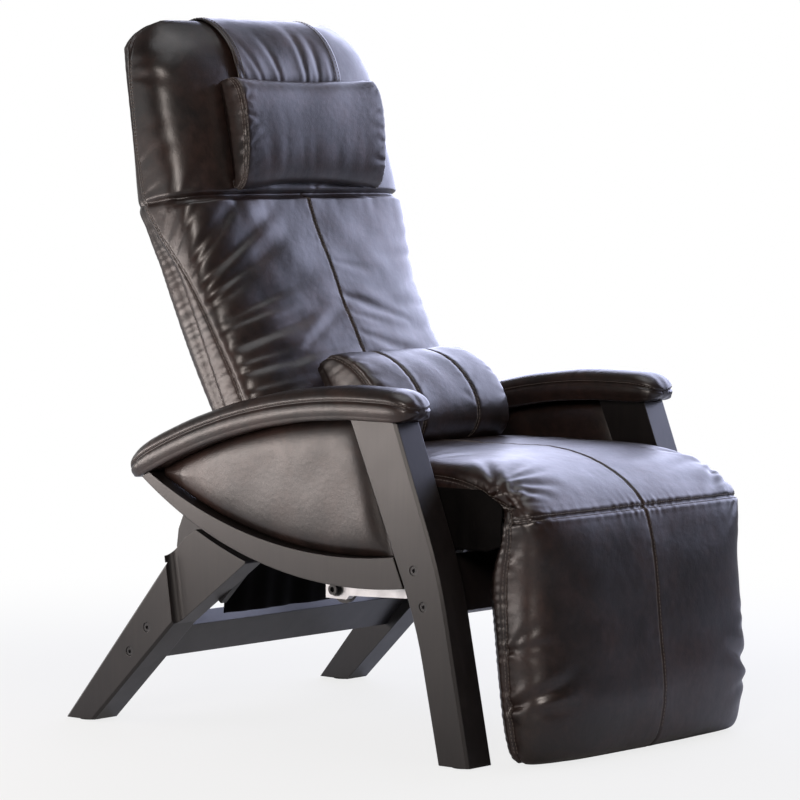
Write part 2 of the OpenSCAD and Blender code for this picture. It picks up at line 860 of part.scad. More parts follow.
// Head pillow and its flap
pillow_t = 30;
pillow_h = 176;
pillow_m = 87.6;
pillow_d = 64;
module head_pillow() {
    rows = 19;
    color(leather)
        skin([for (i = [0:rows])
            let (k = i / rows, t = pillow_t + pillow_h * k, e = swell(2 * k - 1, 2.6))
            section(head_at(t, pillow_m), head_at(t, pillow_m + pillow_d * (0.12 + 0.88 * e)),
                pillow_w / 2 * (0.9 + 0.1 * e), 3)]);
}
flap_t = 3;
function flap_path(c) = concat(
    [for (t = [pillow_t + pillow_h + 0.6, head_len - 70, head_len - 42, head_len - 12])
        head_at(t, head_front_m(t) + 2 + c)],
    [head_at(head_len + 4 + c * 0.7, 20 + c * 0.7), head_at(head_len + 4 + c, -4),
        head_at(head_len - 12 + c * 0.7, -36 - c * 0.7),
        head_at(head_len - 36, -rear_m - c), head_at(head_len - 140, -rear_m - 3 - c)]
);
module head_flap() {
    inner = flap_path(0);
    outer = flap_path(flap_t);
    color(leather)
        along_x(-flap_w / 2, flap_w / 2)
            polygon(concat(inner, [for (i = [len(outer) - 1:-1:0]) outer[i]]));
}

// Lumbar pillow, resting on the seat against the back
lumbar_m = back_d + 0.5;
lumbar_t = 136.5 + (seat_h - 463);
function lumbar_out_at(k) =
    let (m = lookup(k, [[0, 58], [0.1, 88], [0.3, 100], [0.6, 98], [0.85, 80], [1, 50]]),
        t = lookup(k, [[0, lumbar_t - 0.51 * (lumbar_m + 58)], [0.1, 46], [0.3, 72], [0.6, 118],
            [0.85, 168], [1, 194]]))
    back_at(t, lumbar_m + m);
module lumbar_pillow() {
    rows = 19;
    t0 = lumbar_t - 0.51 * lumbar_m + 2;
    color(leather)
        skin([for (i = [0:rows])
            let (k = i / rows, e = swell(2 * k - 1, 4))
            section(back_at(t0 + (198 - t0) * k, lumbar_m), lumbar_out_at(k) + [0, 2],
                lumbar_w / 2 * (0.92 + 0.08 * e), 4, 0.36, channel)]);
}

front_leg_right();
front_leg_left();
rear_leg_right();
rear_leg_left();
lap_plate_right();
lap_plate_left();
side_rail_right();
side_rail_left();
arm_board_right();
arm_board_left();
arm_pad_right();
arm_pad_left();
side_panel_right();
side_panel_left();
front_cross_rail();
rear_cross_rail();
frame_bolts();
floor_glides();
pivot_rail_right();
pivot_rail_left();
pivot_bolt_right();
pivot_bolt_left();
actuator_bracket();
actuator_body();
actuator_motor();
actuator_rod();
seat_plate_right();
seat_plate_left();
seat_skirt_right();
seat_skirt_left();
seat_front_tube();
seat_rear_tube();
seat_deck();
seat_cushion();
tilt_clevis();
control_box();
leg_drive();
back_drive();
leg_shaft();
leg_stile_right();
leg_stile_left();
leg_lower_bar();
leg_board();
leg_cushion();
back_shaft();
back_stile_right();
back_stile_left();
back_mid_tube();
back_top_tube();
back_board();
head_board();
back_cushion();
head_cushion();
back_side_right();
back_side_left();
back_panel();
head_panel();
head_pillow();
head_flap();
lumbar_pillow();
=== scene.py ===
"""Upholstery, stitching, finishes and studio for the zero gravity recliner."""
import json
import math
from functools import cache

import bmesh
import bpy
import numpy as np
from bpy.props import FloatProperty, FloatVectorProperty, IntProperty, PointerProperty
from bpy.types import Operator, Panel, PropertyGroup
from mathutils import Matrix, Vector


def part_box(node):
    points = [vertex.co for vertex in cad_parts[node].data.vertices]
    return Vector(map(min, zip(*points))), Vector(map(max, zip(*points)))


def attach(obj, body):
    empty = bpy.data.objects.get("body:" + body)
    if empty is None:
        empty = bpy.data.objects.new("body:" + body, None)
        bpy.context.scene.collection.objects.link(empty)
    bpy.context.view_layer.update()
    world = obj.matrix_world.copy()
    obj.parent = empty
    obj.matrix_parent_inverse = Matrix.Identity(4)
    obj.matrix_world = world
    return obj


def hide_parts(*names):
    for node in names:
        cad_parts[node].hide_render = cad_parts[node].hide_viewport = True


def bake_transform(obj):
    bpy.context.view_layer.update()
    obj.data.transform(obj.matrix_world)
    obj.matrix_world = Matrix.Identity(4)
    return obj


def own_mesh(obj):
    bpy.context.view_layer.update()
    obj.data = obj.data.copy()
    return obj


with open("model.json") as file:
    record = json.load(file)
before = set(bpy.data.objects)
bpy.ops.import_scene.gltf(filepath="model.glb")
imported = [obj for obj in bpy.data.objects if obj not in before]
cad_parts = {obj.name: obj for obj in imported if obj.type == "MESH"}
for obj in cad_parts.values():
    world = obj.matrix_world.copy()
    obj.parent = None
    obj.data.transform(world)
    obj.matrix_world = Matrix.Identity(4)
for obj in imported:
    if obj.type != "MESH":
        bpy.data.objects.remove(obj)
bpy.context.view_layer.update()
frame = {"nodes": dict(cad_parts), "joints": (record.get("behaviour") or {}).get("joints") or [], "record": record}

bl_info = {
    "name": "Recliner upholstery",
    "version": (1, 0, 0),
    "blender": (4, 5, 0),
    "location": "View3D > Sidebar > Recliner",
    "description": "Leather covers, stitching, finishes and studio of a zero gravity recliner",
    "category": "Object",
}

MM = 0.001
JOINTS = {j["name"]: j for j in frame["joints"]}


def pivot(name):
    """A hinge's place in the side plane, (y, z) in millimetres."""
    return np.array(JOINTS[name]["pos_m"][1:]) * 1000


def lean(name):
    """The backward lean of a slide, in radians."""
    axis = JOINTS[name]["axis"]
    return math.atan2(axis[1], axis[2])


def span(node):
    """Lowest and highest corner of a CAD node, in millimetres."""
    lo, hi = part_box(node)
    return np.array(lo) * 1000, np.array(hi) * 1000


# Places and sizes in millimetres, taken from the frame where it has them
BACK_PIVOT = pivot("back_recline")
KNEE = pivot("leg_lift")
BACK_LEAN = lean("lumbar_slide")
HEAD_LEAN = lean("head_slide")
BACK_LEN = 555.0
BEND = BACK_PIVOT + BACK_LEN * np.array([math.sin(BACK_LEAN), math.cos(BACK_LEAN)])
HEAD_LEN = (span("head_cushion")[1][2] - BEND[1]) / math.cos(HEAD_LEAN) - 2.5
LEG_LEAN = math.radians(10.7)
BACK_HALF = span("back_panel")[1][0]
SEAT_HALF = span("seat_cushion")[1][0]
LEG_HALF = span("leg_cushion")[1][0]
ARM_X = (span("arm_pad_left")[0][0] + span("arm_pad_left")[1][0]) / 2
ARM_HALF = (span("arm_pad_left")[1][0] - span("arm_pad_left")[0][0]) / 2
PANEL_X = (span("side_panel_left")[0][0] + span("side_panel_left")[1][0]) / 2
ARM_CENTRE = np.array([-150.0, -500.0])
ARM_CREST = 1070.0
ARM_FROM, ARM_TO = -5.25, 28.75
ARM_UNDER, PANEL_TOP = ARM_CREST - 51.5, ARM_CREST - 51
RAIL_CENTRE, RAIL_RADIUS = np.array([-110.0, 1118.0]), 812.0
LEG_EDGE = np.array([-217.0, 318.0]), np.array([-164.0, 519.0])
KNEE_SEAM = -433, 381
SKIRT_X = 272.4
FLAP_HALF = 128.0
FLAP_WALL, SHADE_APRON_WALL = 2.2, 1.4
# Lowest point of the near-black apron, a sheet that is partly painted shade under the back
SHADE_APRON_END = 183.0
LUMBAR_SEAM = 70
FLOOR_GAP = 4.5
SIDES = ("right", -1), ("left", 1)

# Frames and largest move of the cloth that swells the covers, and the stitches' sizes
CLOTH_FRAMES, CLOTH_CAP = 16, 24.0
STITCH_LEN, STITCH_RADIUS, STITCH_LIFT = 4.3, 0.52, 0.35

# The studio, in metres, and the photograph's camera
FLOOR_HALF = 30
EYE = (-4.8138, -3.9745, 0.9313)
EYE_UP, EYE_TURN = -3.71, -50.02
SENSOR = 36
FOCAL_PX, PICTURE_PX = 3862, 800


def on_line(origin, tilt, t, m):
    """Point at t along a line that leans back by tilt, and m in front of it."""
    s, c = math.sin(tilt), math.cos(tilt)
    return (origin[0] + t * s - m * c, origin[1] + t * c + m * s)


def back_at(t, m):
    """Point on the lower back: t along it from its pivot, m in front of its frame."""
    return on_line(BACK_PIVOT, BACK_LEAN, t, m)


def head_at(t, m):
    """Point on the head section: t along it from the bend, m in front of its frame."""
    return on_line(BEND, HEAD_LEAN, t, m)


def leg_at(n, d):
    """Point on the leg rest: n in front of its pivot, d down from it."""
    return on_line(KNEE, LEG_LEAN, -d, n)


def arm_at(degrees, radius):
    """Point on the bowed arm."""
    a = math.radians(degrees)
    return (ARM_CENTRE[0] + radius * math.sin(a), ARM_CENTRE[1] + radius * math.cos(a))


# Padded forms


def lengths(line):
    """How far along a line each of its points lies."""
    return np.r_[0, np.cumsum(np.linalg.norm(np.diff(line, axis=0), axis=1))]


def along(line, at, way=None):
    """Points at distances along a line."""
    way = lengths(line) if way is None else way
    return np.column_stack([np.interp(at, way, line[:, k]) for k in range(line.shape[1])])


def rounded(table, passes=3):
    """Rounds a table of stations by cutting its corners."""
    t = np.array(table, float)
    for _ in range(passes):
        m = np.empty((2 * len(t) - 2, t.shape[1]))
        m[0::2], m[1::2] = 0.75 * t[:-1] + 0.25 * t[1:], 0.25 * t[:-1] + 0.75 * t[1:]
        t = np.vstack([t[:1], m, t[-1:]])
    return t


def stations(table, count):
    """Evenly spaced stations along a rounded table, and how far along each lies."""
    t = rounded(table)
    s = 0.8 * lengths(t[:, 0:2]) + 0.2 * lengths(t[:, 2:4])
    out = along(t, np.linspace(0, s[-1], count), s)
    return lengths(out[:, 0:2]), out


def spread(count):
    """Shares of a front panel's width, closer together at its seams and middle."""
    t = np.arange(count) / count
    return t - 0.55 * np.sin(4 * np.pi * t) / (4 * np.pi)


def pad_rows(table, x0, counts, rear_half=1e9, rear_p=9):
    """Rings of a boxed pad: a domed front, two side gussets and a flat rear.
    Each station gives the front's and the rear's middle, the half width, the shares of the
    depth at which the side seam and the rear seam lie, and how square the front is. The rear
    is no wider than rear_half each way, and rear_p says how square it is."""
    nf, ng, nr = counts
    a = np.linspace(-math.pi / 2, math.pi / 2, 241)
    sine, cosine = np.sin(a), np.abs(np.cos(a))
    h = np.linspace(0, 1, 21)
    rows = []
    for fy, fz, ry, rz, w, fs, fg, p in table:
        front_x = w * np.sign(sine) * np.abs(sine) ** (2 / p)
        front_q = fs * (1 - cosine ** (2 / p))
        g = min(w, rear_half)
        rear_x = -g * np.sign(sine) * np.abs(sine) ** (2 / rear_p)
        rear_q = fg + (1 - fg) * cosine ** (2 / rear_p)
        side_x = w + (g - w) * h + 2.2 * np.sin(math.pi * h)
        side_q = fs + (fg - fs) * h
        ring = []
        for x, q, shares in (
            (front_x, front_q, spread(nf)),
            (side_x, side_q, np.arange(ng) / ng),
            (rear_x, rear_q, np.arange(nr) / nr),
            (-side_x[::-1], side_q[::-1], np.arange(ng) / ng),
        ):
            line = np.column_stack([x0 + x, fy + q * (ry - fy), fz + q * (rz - fz)])
            way = lengths(line)
            ring.append(along(line, shares * way[-1], way))
        rows.append(np.vstack(ring))
    return np.array(rows)


def sheet_rows(path, half, count, columns):
    """Rows of a sheet over a path in the side plane, how far along each lies, and its middle."""
    t = rounded(path)
    s = lengths(t)
    way = np.linspace(0, s[-1], count)
    mid = along(t, way, s)
    rows = np.empty((count, columns, 3))
    rows[:, :, 0] = np.linspace(-half, half, columns)
    rows[:, :, 1:] = mid[:, None]
    return rows, way, mid


def outward(rows):
    """Unit normals of closed rings, pointing out."""
    du = np.roll(rows, -1, axis=1) - np.roll(rows, 1, axis=1)
    n = np.cross(du, np.gradient(rows, axis=0))
    n /= np.maximum(np.linalg.norm(n, axis=2, keepdims=True), 1e-9)
    return -n if np.sum(n * (rows - rows.mean(axis=1, keepdims=True))) < 0 else n


def smoothed(field, passes):
    """A field on closed rings, evened out."""
    for _ in range(passes):
        side = (np.roll(field, 1, axis=1) + np.roll(field, -1, axis=1)) / 2
        up = (np.concatenate([field[:1], field[:-1]]) + np.concatenate([field[1:], field[-1:]])) / 2
        field = 0.5 * field + 0.25 * side + 0.25 * up
    return field


def shown(name, bm):
    """A new piece from a bmesh."""
    mesh = bpy.data.meshes.new(name)
    bm.to_mesh(mesh)
    bm.free()
    piece = bpy.data.objects.new(name, mesh)
    bpy.context.scene.collection.objects.link(piece)
    return piece


def loft(name, rows, closed=True):
    """A mesh over rows of points in millimetres, closed round and at both ends, or an open sheet."""
    if closed:
        rows = np.concatenate([rows, rows[:, :1]], axis=1)
    nv, nu = rows.shape[:2]
    bm = bmesh.new()
    bm.loops.layers.uv.new("Panel")
    bmesh.ops.create_grid(bm, x_segments=nu - 1, y_segments=nv - 1, size=0.5, calc_uvs=True)
    cell = bm.verts.layers.int.new("cell")
    for v in bm.verts:
        i = round((v.co.x + 0.5) * (nu - 1))
        j = round((v.co.y + 0.5) * (nv - 1))
        v[cell] = j * (nu - 1) + i % (nu - 1) if closed else j * nu + i
        v.co = rows[j, i] * MM
    bmesh.ops.remove_doubles(bm, verts=bm.verts, dist=1e-7)
    if closed:
        edges = [e for e in bm.edges if e.is_boundary]
        ends = bmesh.ops.holes_fill(bm, edges=edges, sides=0)["faces"]
        bmesh.ops.triangulate(bm, faces=ends)
    bmesh.ops.recalc_face_normals(bm, faces=bm.faces)
    piece = shown(name, bm)
    for p in piece.data.polygons:
        p.use_smooth = True
    return piece


def thickened(piece, wall, offset=-1):
    """Gives a sheet its thickness in millimetres."""
    solid = piece.modifiers.new("Thickness", "SOLIDIFY")
    solid.thickness, solid.offset = wall * MM, offset
    with bpy.context.temp_override(object=piece, active_object=piece):
        bpy.ops.object.modifier_apply(modifier=solid.name)


def plumped(rows, hold, pressure, growth):
    """Rings after the cover has been blown up as cloth that is held at its seams."""
    step = rows[::2, ::2]
    grip = hold[::2, ::2].ravel()
    trial = loft("trial_cover", step)
    cell = np.zeros(len(trial.data.vertices), np.int32)
    trial.data.attributes["cell"].data.foreach_get("value", cell)
    group = trial.vertex_groups.new(name="hold")
    for k, c in enumerate(cell):
        group.add([k], float(grip[c]), "REPLACE")
    cloth = trial.modifiers.new("Cloth", "CLOTH")
    s = cloth.settings
    s.quality = 6
    s.mass = 0.3
    s.tension_stiffness = s.compression_stiffness = 14
    s.shear_stiffness = 6
    s.bending_stiffness = 0.6
    s.use_pressure = True
    s.uniform_pressure_force = pressure
    s.vertex_group_mass = "hold"
    s.pin_stiffness = 1.0
    s.shrink_min = -growth
    s.effector_weights.gravity = 0
    cloth.collision_settings.use_collision = False
    cloth.point_cache.frame_start = 1
    cloth.point_cache.frame_end = CLOTH_FRAMES
    scene = bpy.context.scene
    for f in range(1, CLOTH_FRAMES + 1):
        scene.frame_set(f)
    done = trial.evaluated_get(bpy.context.evaluated_depsgraph_get()).data
    co = np.zeros(len(done.vertices) * 3)
    done.vertices.foreach_get("co", co)
    moved = np.zeros(step.shape).reshape(-1, 3)
    moved[cell] = co.reshape(-1, 3) * 1000 - step.reshape(-1, 3)[cell]
    scene.frame_set(1)
    mesh = trial.data
    bpy.data.objects.remove(trial)
    bpy.data.meshes.remove(mesh)
    size = np.linalg.norm(moved, axis=1, keepdims=True)
    moved *= np.minimum(1.0, CLOTH_CAP / np.maximum(size, 1e-9))
    moved = moved.reshape(step.shape)
    # Back from every second point to all of them, with most of the fine crumpling left out
    wrapped = np.concatenate([moved, moved[:, :1]], axis=1)
    wide = np.empty((step.shape[0], rows.shape[1], 3))
    wide[:, 0::2] = moved
    wide[:, 1::2] = (wrapped[:, :-1] + wrapped[:, 1:])[:, : rows.shape[1] // 2] / 2
    full = np.zeros(rows.shape)
    full[0::2] = wide
    full[1::2] = (wide[:-1] + wide[1:])[: full[1::2].shape[0]] / 2
    even = smoothed(full, 60)
    return rows + even + 0.12 * (smoothed(full, 4) - even)


# Folds and seams


def crease(q):
    """Profile of a leather wrinkle: a valley between two soft shoulders."""
    shoulders = np.exp(-(((q - 1.25) / 0.95) ** 2)) + np.exp(-(((q + 1.25) / 0.95) ** 2))
    return 0.55 * shoulders - np.exp(-((q / 0.72) ** 2))


def wrinkle(x, s, start, angle, length, width, depth, bow=0.0):
    """Height of one wrinkle that runs from start over a panel's (x, s) places."""
    c, d = math.cos(angle), math.sin(angle)
    dx, ds = x - start[0], s - start[1]
    run = dx * c + ds * d
    off = -dx * d + ds * c - bow * run * run / length
    t = np.clip(run / length, 0, 1)
    onset = 1 - 0.5 * np.exp(-((run / (0.2 * length)) ** 2))
    ahead = (1 - t) ** 1.3 * (1 + 0.6 * t) * onset
    fade = np.where(run < 0, 0.5 * np.exp(-((run / 12) ** 2)), ahead)
    return depth * fade * crease(off / (width * (0.7 + 0.9 * t)))


def ripple(x, s, rng, count, size, height):
    """Soft uneven undulation of a stretched cover."""
    out = np.zeros_like(x)
    for _ in range(count):
        a = rng.uniform(0, 2 * math.pi)
        k = 2 * math.pi / (size * rng.uniform(0.6, 1.7))
        out += np.sin(k * (x * math.cos(a) + s * math.sin(a)) + rng.uniform(0, 6.28))
    return out * height / math.sqrt(count)


def bell(gap, width):
    """A bump that is 1 where gap is 0 and falls away over width."""
    return np.exp(-((gap / width) ** 2))


def seam_dip(gap, s, depth, width, pucker, pitch, rng):
    """The valley of a sewn seam with its small puckers, gap being the distance to it."""
    wave = 0.55 * np.sin(2 * math.pi * s / pitch + 1.3 * np.sin(s / 31.0))
    wave += 0.45 * np.sin(2 * math.pi * s / (pitch * 1.63) + rng.uniform(0, 6))
    return -depth * bell(gap, width) + pucker * wave * bell(gap, 4.5 * width)


def across(rows, column):
    """Signed distance over the rings from a column, for every point."""
    step = np.linalg.norm(np.roll(rows, -1, axis=1) - rows, axis=2)
    total = step.sum(axis=1, keepdims=True)
    s = np.concatenate([np.zeros((len(rows), 1)), np.cumsum(step, axis=1)[:, :-1]], axis=1)
    d = s - s[:, column : column + 1]
    return (d + total / 2) % total - total / 2


def column_gap(rows, column):
    """Distance over the rings from a column, for every point."""
    return np.abs(across(rows, column))


# Stitching


def seam_line(rows, normals, column, shift, first, last):
    """A line of points beside a column of the rings."""
    reach = 8
    idx = np.arange(column - reach, column + reach + 1) % rows.shape[1]
    points = []
    for part in rows[first:last, idx]:
        s = lengths(part)
        points.append([np.interp(shift, s - s[reach], part[:, k]) for k in range(3)])
    return np.array(points) + STITCH_LIFT * normals[first:last, column]


def cross_line(rows, normals, way, place, first, last):
    """A line of points across the rings at a distance along them."""
    j = int(np.searchsorted(way, place)) - 1
    f = (place - way[j]) / (way[j + 1] - way[j])
    idx = np.arange(first, last)
    return (1 - f) * rows[j, idx] + f * rows[j + 1, idx] + STITCH_LIFT * normals[j, idx]


def stitching(name, lines, pitch):
    """Sewn thread: a short bar for each stitch along each line."""
    bm = bmesh.new()
    for line in lines:
        s = lengths(line)
        n = max(2, int(s[-1] / pitch))
        mid = (np.arange(n) + 0.5) * s[-1] / n
        for a, b in zip(along(line, mid - STITCH_LEN / 2, s), along(line, mid + STITCH_LEN / 2, s)):
            a, b = Vector(a) * MM, Vector(b) * MM
            turn = (b - a).to_track_quat("Z", "Y").to_matrix().to_4x4()
            bmesh.ops.create_cone(
                bm,
                cap_ends=True,
                segments=5,
                radius1=STITCH_RADIUS * MM,
                radius2=STITCH_RADIUS * MM,
                depth=(b - a).length,
                matrix=Matrix.Translation((a + b) / 2) @ turn,
            )
    piece = shown(name, bm)
    paint(piece, thread())
    return piece


# Materials


class Nodes:
    """A node tree being built, with short ways to add and join its nodes."""

    def __init__(self, tree):
        self.nodes, self.link = tree.nodes, tree.links.new

    def fill(self, socket, value):
        """Sets an input, by a link where the value is another node's output."""
        if isinstance(value, bpy.types.NodeSocket):
            self.link(value, socket)
        else:
            socket.default_value = value

    def add(self, kind, **values):
        """A new node with its inputs and settings."""
        node = self.nodes.new(kind)
        for key, value in values.items():
            if key in node.inputs:
                self.fill(node.inputs[key], value)
            else:
                setattr(node, key, value)
        return node

    def math(self, operation, first, second):
        """The result of one operation on two values."""
        node = self.add("ShaderNodeMath", operation=operation)
        self.fill(node.inputs[0], first)
        self.fill(node.inputs[1], second)
        return node.outputs["Value"]

    def mapped(self, source, low, high, start=0.0, stop=1.0, curve="LINEAR"):
        """A value mapped from start..stop to low..high."""
        ends = {"Value": source, "From Min": start, "From Max": stop, "To Min": low, "To Max": high}
        return self.add("ShaderNodeMapRange", interpolation_type=curve, **ends).outputs["Result"]

    def eased(self, source, low, high, start, stop):
        """A value mapped from start..stop to low..high, with soft ends."""
        return self.mapped(source, low, high, start, stop, "SMOOTHSTEP")

    def seen(self):
        """Shares of a ray that is seen straight on, and of one seen in gloss or through glass."""
        path = self.add("ShaderNodeLightPath").outputs
        return path["Is Camera Ray"], self.math("MAXIMUM", path["Is Glossy Ray"], path["Is Transmission Ray"])


class Finish(Nodes):
    """A material being made, with textures in the piece's own coordinates."""

    def __init__(self, name):
        self.mat = bpy.data.materials.new(name)
        self.mat.use_nodes = True
        super().__init__(self.mat.node_tree)
        self.shader = self.nodes["Principled BSDF"]
        self.place = self.add("ShaderNodeTexCoord").outputs["Object"]

    def stretched(self, scale, tilt=0.0):
        """The coordinates, tilted and stretched for a grain."""
        turn = (math.radians(tilt), 0, 0)
        return self.add("ShaderNodeMapping", Vector=self.place, Rotation=turn, Scale=scale).outputs["Vector"]

    def noise(self, scale, detail, rough=0.5, twist=0.0, place=None):
        """Uneven noise."""
        inputs = {"Scale": scale, "Detail": detail, "Roughness": rough, "Distortion": twist}
        inputs["Vector"] = self.place if place is None else place
        return self.add("ShaderNodeTexNoise", **inputs).outputs["Fac"]

    def cells(self, scale):
        """Small rounded cells."""
        node = self.add("ShaderNodeTexVoronoi", feature="F1", Vector=self.place, Scale=scale)
        return node.outputs["Distance"]

    def ramp(self, source, low, high, first, second):
        """A colour ramp between two colours."""
        node = self.add("ShaderNodeValToRGB", Fac=source)
        for stop, place, colour in zip(node.color_ramp.elements, (low, high), (first, second)):
            stop.position, stop.color = place, (*colour, 1)
        return node.outputs["Color"]

    def bump(self, height, strength, distance, **base):
        """A bumped normal."""
        inputs = {"Height": height, "Strength": strength, "Distance": distance}
        return self.add("ShaderNodeBump", **inputs, **base).outputs["Normal"]

    def shaded(self, **values):
        """The material, with its shader's inputs set. An underscore stands for a space."""
        for key, value in values.items():
            self.fill(self.shader.inputs[key.replace("_", " ")], value)
        return self.mat


@cache
def leather():
    """Dark brown bonded leather: fine pebble grain, patina and a semi-gloss top coat."""
    look, f = bpy.context.scene.recliner_look, Finish("espresso_leather")
    dark = tuple(look.leather)
    worn = (dark[0] * 2.8, dark[1] * 2.4, dark[2] * 2.2)
    patina = f.ramp(f.noise(8.0, 8.0, 0.68, 0.4), 0.42, 0.66, dark, worn)
    mottle = f.ramp(f.noise(70.0, 6.0, 0.7), 0.38, 0.62, (0.7, 0.7, 0.7), (1.15, 1.15, 1.15))
    tone = f.add("ShaderNodeMix", data_type="RGBA", blend_type="MULTIPLY")
    for socket, value in ((0, 1.0), (6, patina), (7, mottle)):
        f.fill(tone.inputs[socket], value)
    pebble = f.bump(f.cells(620.0), 0.14, 0.0006)
    return f.shaded(
        Base_Color=tone.outputs[2],
        Roughness=f.mapped(f.noise(26.0, 7.0, 0.66), look.gloss - 0.13, look.gloss + 0.13),
        Normal=f.bump(f.noise(95.0, 5.0, 0.6), 0.14, 0.0026, Normal=pebble),
        Specular_IOR_Level=0.6,
        Coat_Weight=0.14,
        Coat_Roughness=0.3,
    )


@cache
def lining_and_shade():
    """Matt black lining cloth with a close weave, made near-black so that its colour also paints the shade under
    the seat and the back.
    """
    f = Finish("black_lining_and_painted_shade")
    dust = f.noise(18.0, 6.0, 0.65)
    return f.shaded(
        # Near-black colour: the cloth's own black, darkened further as painted shade
        Base_Color=f.ramp(dust, 0.35, 0.7, (0.0022, 0.0019, 0.0018), (0.005, 0.0042, 0.004)),
        Roughness=f.mapped(dust, 0.62, 0.85),
        Normal=f.bump(f.cells(900.0), 0.2, 0.0004),
        Specular_IOR_Level=0.06,
    )


@cache
def thread():
    """Waxed upholstery thread with a twist, its colour lightened so that it also paints the sheen on the stitches.
    """
    f = Finish("waxed_thread_painted_sheen")
    base = tuple(bpy.context.scene.recliner_look.thread)
    twist = f.ramp(f.noise(900.0, 2.0), 0.3, 0.7, tuple(c * 0.6 for c in base), base)
    return f.shaded(Base_Color=twist, Roughness=0.6)


@cache
def wood():
    """Espresso lacquer over close-grained wood."""
    f = Finish("espresso_wood")
    base = tuple(bpy.context.scene.recliner_look.wood)
    grain = f.noise(2.2, 7.0, 0.65, 0.6, f.stretched((60, 60, 4), -25))
    edge = f.add("ShaderNodeBevel", samples=6, Radius=0.002).outputs["Normal"]
    return f.shaded(
        Base_Color=f.ramp(grain, 0.35, 0.7, tuple(c * 0.75 for c in base), tuple(c * 1.5 for c in base)),
        Roughness=f.mapped(f.noise(22.0, 4.0), 0.33, 0.47),
        Normal=f.bump(grain, 0.07, 0.0008, Normal=edge),
        Specular_IOR_Level=0.5,
        Coat_Weight=0.18,
        Coat_Roughness=0.25,
    )


@cache
def plywood():
    """Raw birch plywood."""
    f = Finish("birch_plywood")
    grain = f.noise(2.0, 6.0, 0.6, 0.8, f.stretched((3, 40, 40)))
    return f.shaded(
        Base_Color=f.ramp(grain, 0.3, 0.75, (0.42, 0.29, 0.17), (0.62, 0.47, 0.31)),
        Normal=f.bump(grain, 0.1, 0.0006),
        Roughness=0.7,
    )


@cache
def steel(name, low, high, metallic, rough):
    """Metal with brushing and fine wear."""
    f = Finish(name)
    brush = f.noise(2.0, 5.0, 0.6, place=f.stretched((30, 6, 400)))
    return f.shaded(
        Base_Color=f.ramp(f.noise(45.0, 5.0), 0.3, 0.7, low, high),
        Roughness=f.mapped(brush, rough - 0.08, rough + 0.1),
        Normal=f.bump(brush, 0.06, 0.0004),
        Metallic=metallic,
    )


@cache
def plastic():
    """Moulded matt black plastic with a spark-eroded texture."""
    f = Finish("black_plastic")
    return f.shaded(
        Base_Color=f.ramp(f.noise(30.0, 4.0), 0.3, 0.7, (0.014, 0.014, 0.015), (0.026, 0.026, 0.028)),
        Normal=f.bump(f.noise(1400.0, 3.0), 0.15, 0.0002),
        Roughness=0.55,
    )


def paint(piece, mat):
    """Gives a piece one material."""
    piece.data.materials.clear()
    piece.data.materials.append(mat)


def upholstered(piece, fill, *nodes):
    """A leather pad that stands for CAD nodes."""
    paint(piece, leather())
    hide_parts(*nodes)
    return piece


class Pad:
    """A boxed pad being upholstered: its rings, its front and seams, and the heights of its folds."""

    def __init__(self, table, count, counts, x0=0.0, **rear):
        self.way, tab = stations(table, count)
        self.rows = pad_rows(tab, x0, counts, **rear)
        nf, ng, nr = counts
        self.end, self.middle = nf, nf // 2
        self.corners = (0, nf, nf + ng, nf + ng + nr)
        self.front = np.zeros(self.rows.shape[:2], bool)
        self.front[:, : nf + 1] = True
        self.x = self.rows[:, :, 0] - x0
        self.s = np.broadcast_to(self.way[:, None], self.x.shape)
        self.lift = np.zeros_like(self.x)

    def plump(self, slack, grip, ends, pressure, growth, *held):
        """Blows the cover up as cloth that is held at its side seams, its ends and where held says."""
        self.side = np.minimum(column_gap(self.rows, 0), column_gap(self.rows, self.end))
        hold = np.where(self.front, slack, 1.0)
        for more in (bell(self.side, grip), *held):
            hold = np.maximum(hold, more)
        hold[:ends] = hold[-ends:] = 1.0
        self.rows = plumped(self.rows, hold, pressure, growth)

    def unroll(self):
        """Measures x over the surface from the middle, and gives the half width at each ring."""
        self.x = across(self.rows, self.middle)
        return -self.x[:, 0]

    def fold(self, *shape):
        """Adds one wrinkle: start, angle, length, width, depth and bow."""
        self.lift += wrinkle(self.x, self.s, *shape)

    def gather(self, rng, count, half, inset, deep, reach, width, depth):
        """Adds short folds that run in from the two end seams."""
        for edge in (-1, 1):
            for k in range(count):
                angle = rng.uniform(-0.6, 0.6)
                place = inset + (self.way[-1] - 2 * inset) * (k + rng.uniform(0.2, 0.8)) / count
                self.fold(
                    (edge * half, place), angle if edge < 0 else math.pi - angle,
                    rng.uniform(*reach), rng.uniform(*width), deep * rng.uniform(*depth),
                )

    def fade(self, reach):
        """Falls to nothing at the first and the last ring."""
        return (np.clip(self.way / reach, 0, 1) * np.clip((self.way[-1] - self.way) / reach, 0, 1))[:, None]

    def sew(self, columns, *seam):
        """Adds seams along columns: depth, width, pucker, pitch and random source."""
        for column in columns:
            self.lift += seam_dip(column_gap(self.rows, column), self.s, *seam)

    def settle(self):
        """Moves the surface out by the heights of its folds."""
        self.rows = self.rows + outward(self.rows) * self.lift[:, :, None]

    def cover(self, name, fill, *nodes):
        """The finished leather piece."""
        self.normals = outward(self.rows)
        return upholstered(loft(name, self.rows), fill, *nodes)

    def sewn(self, column, shifts, first, last):
        """Lines of thread beside a column, from ring first to ring last from the end."""
        last = len(self.way) - last
        return [seam_line(self.rows, self.normals, column, d, first, last) for d in shifts]


# Properties


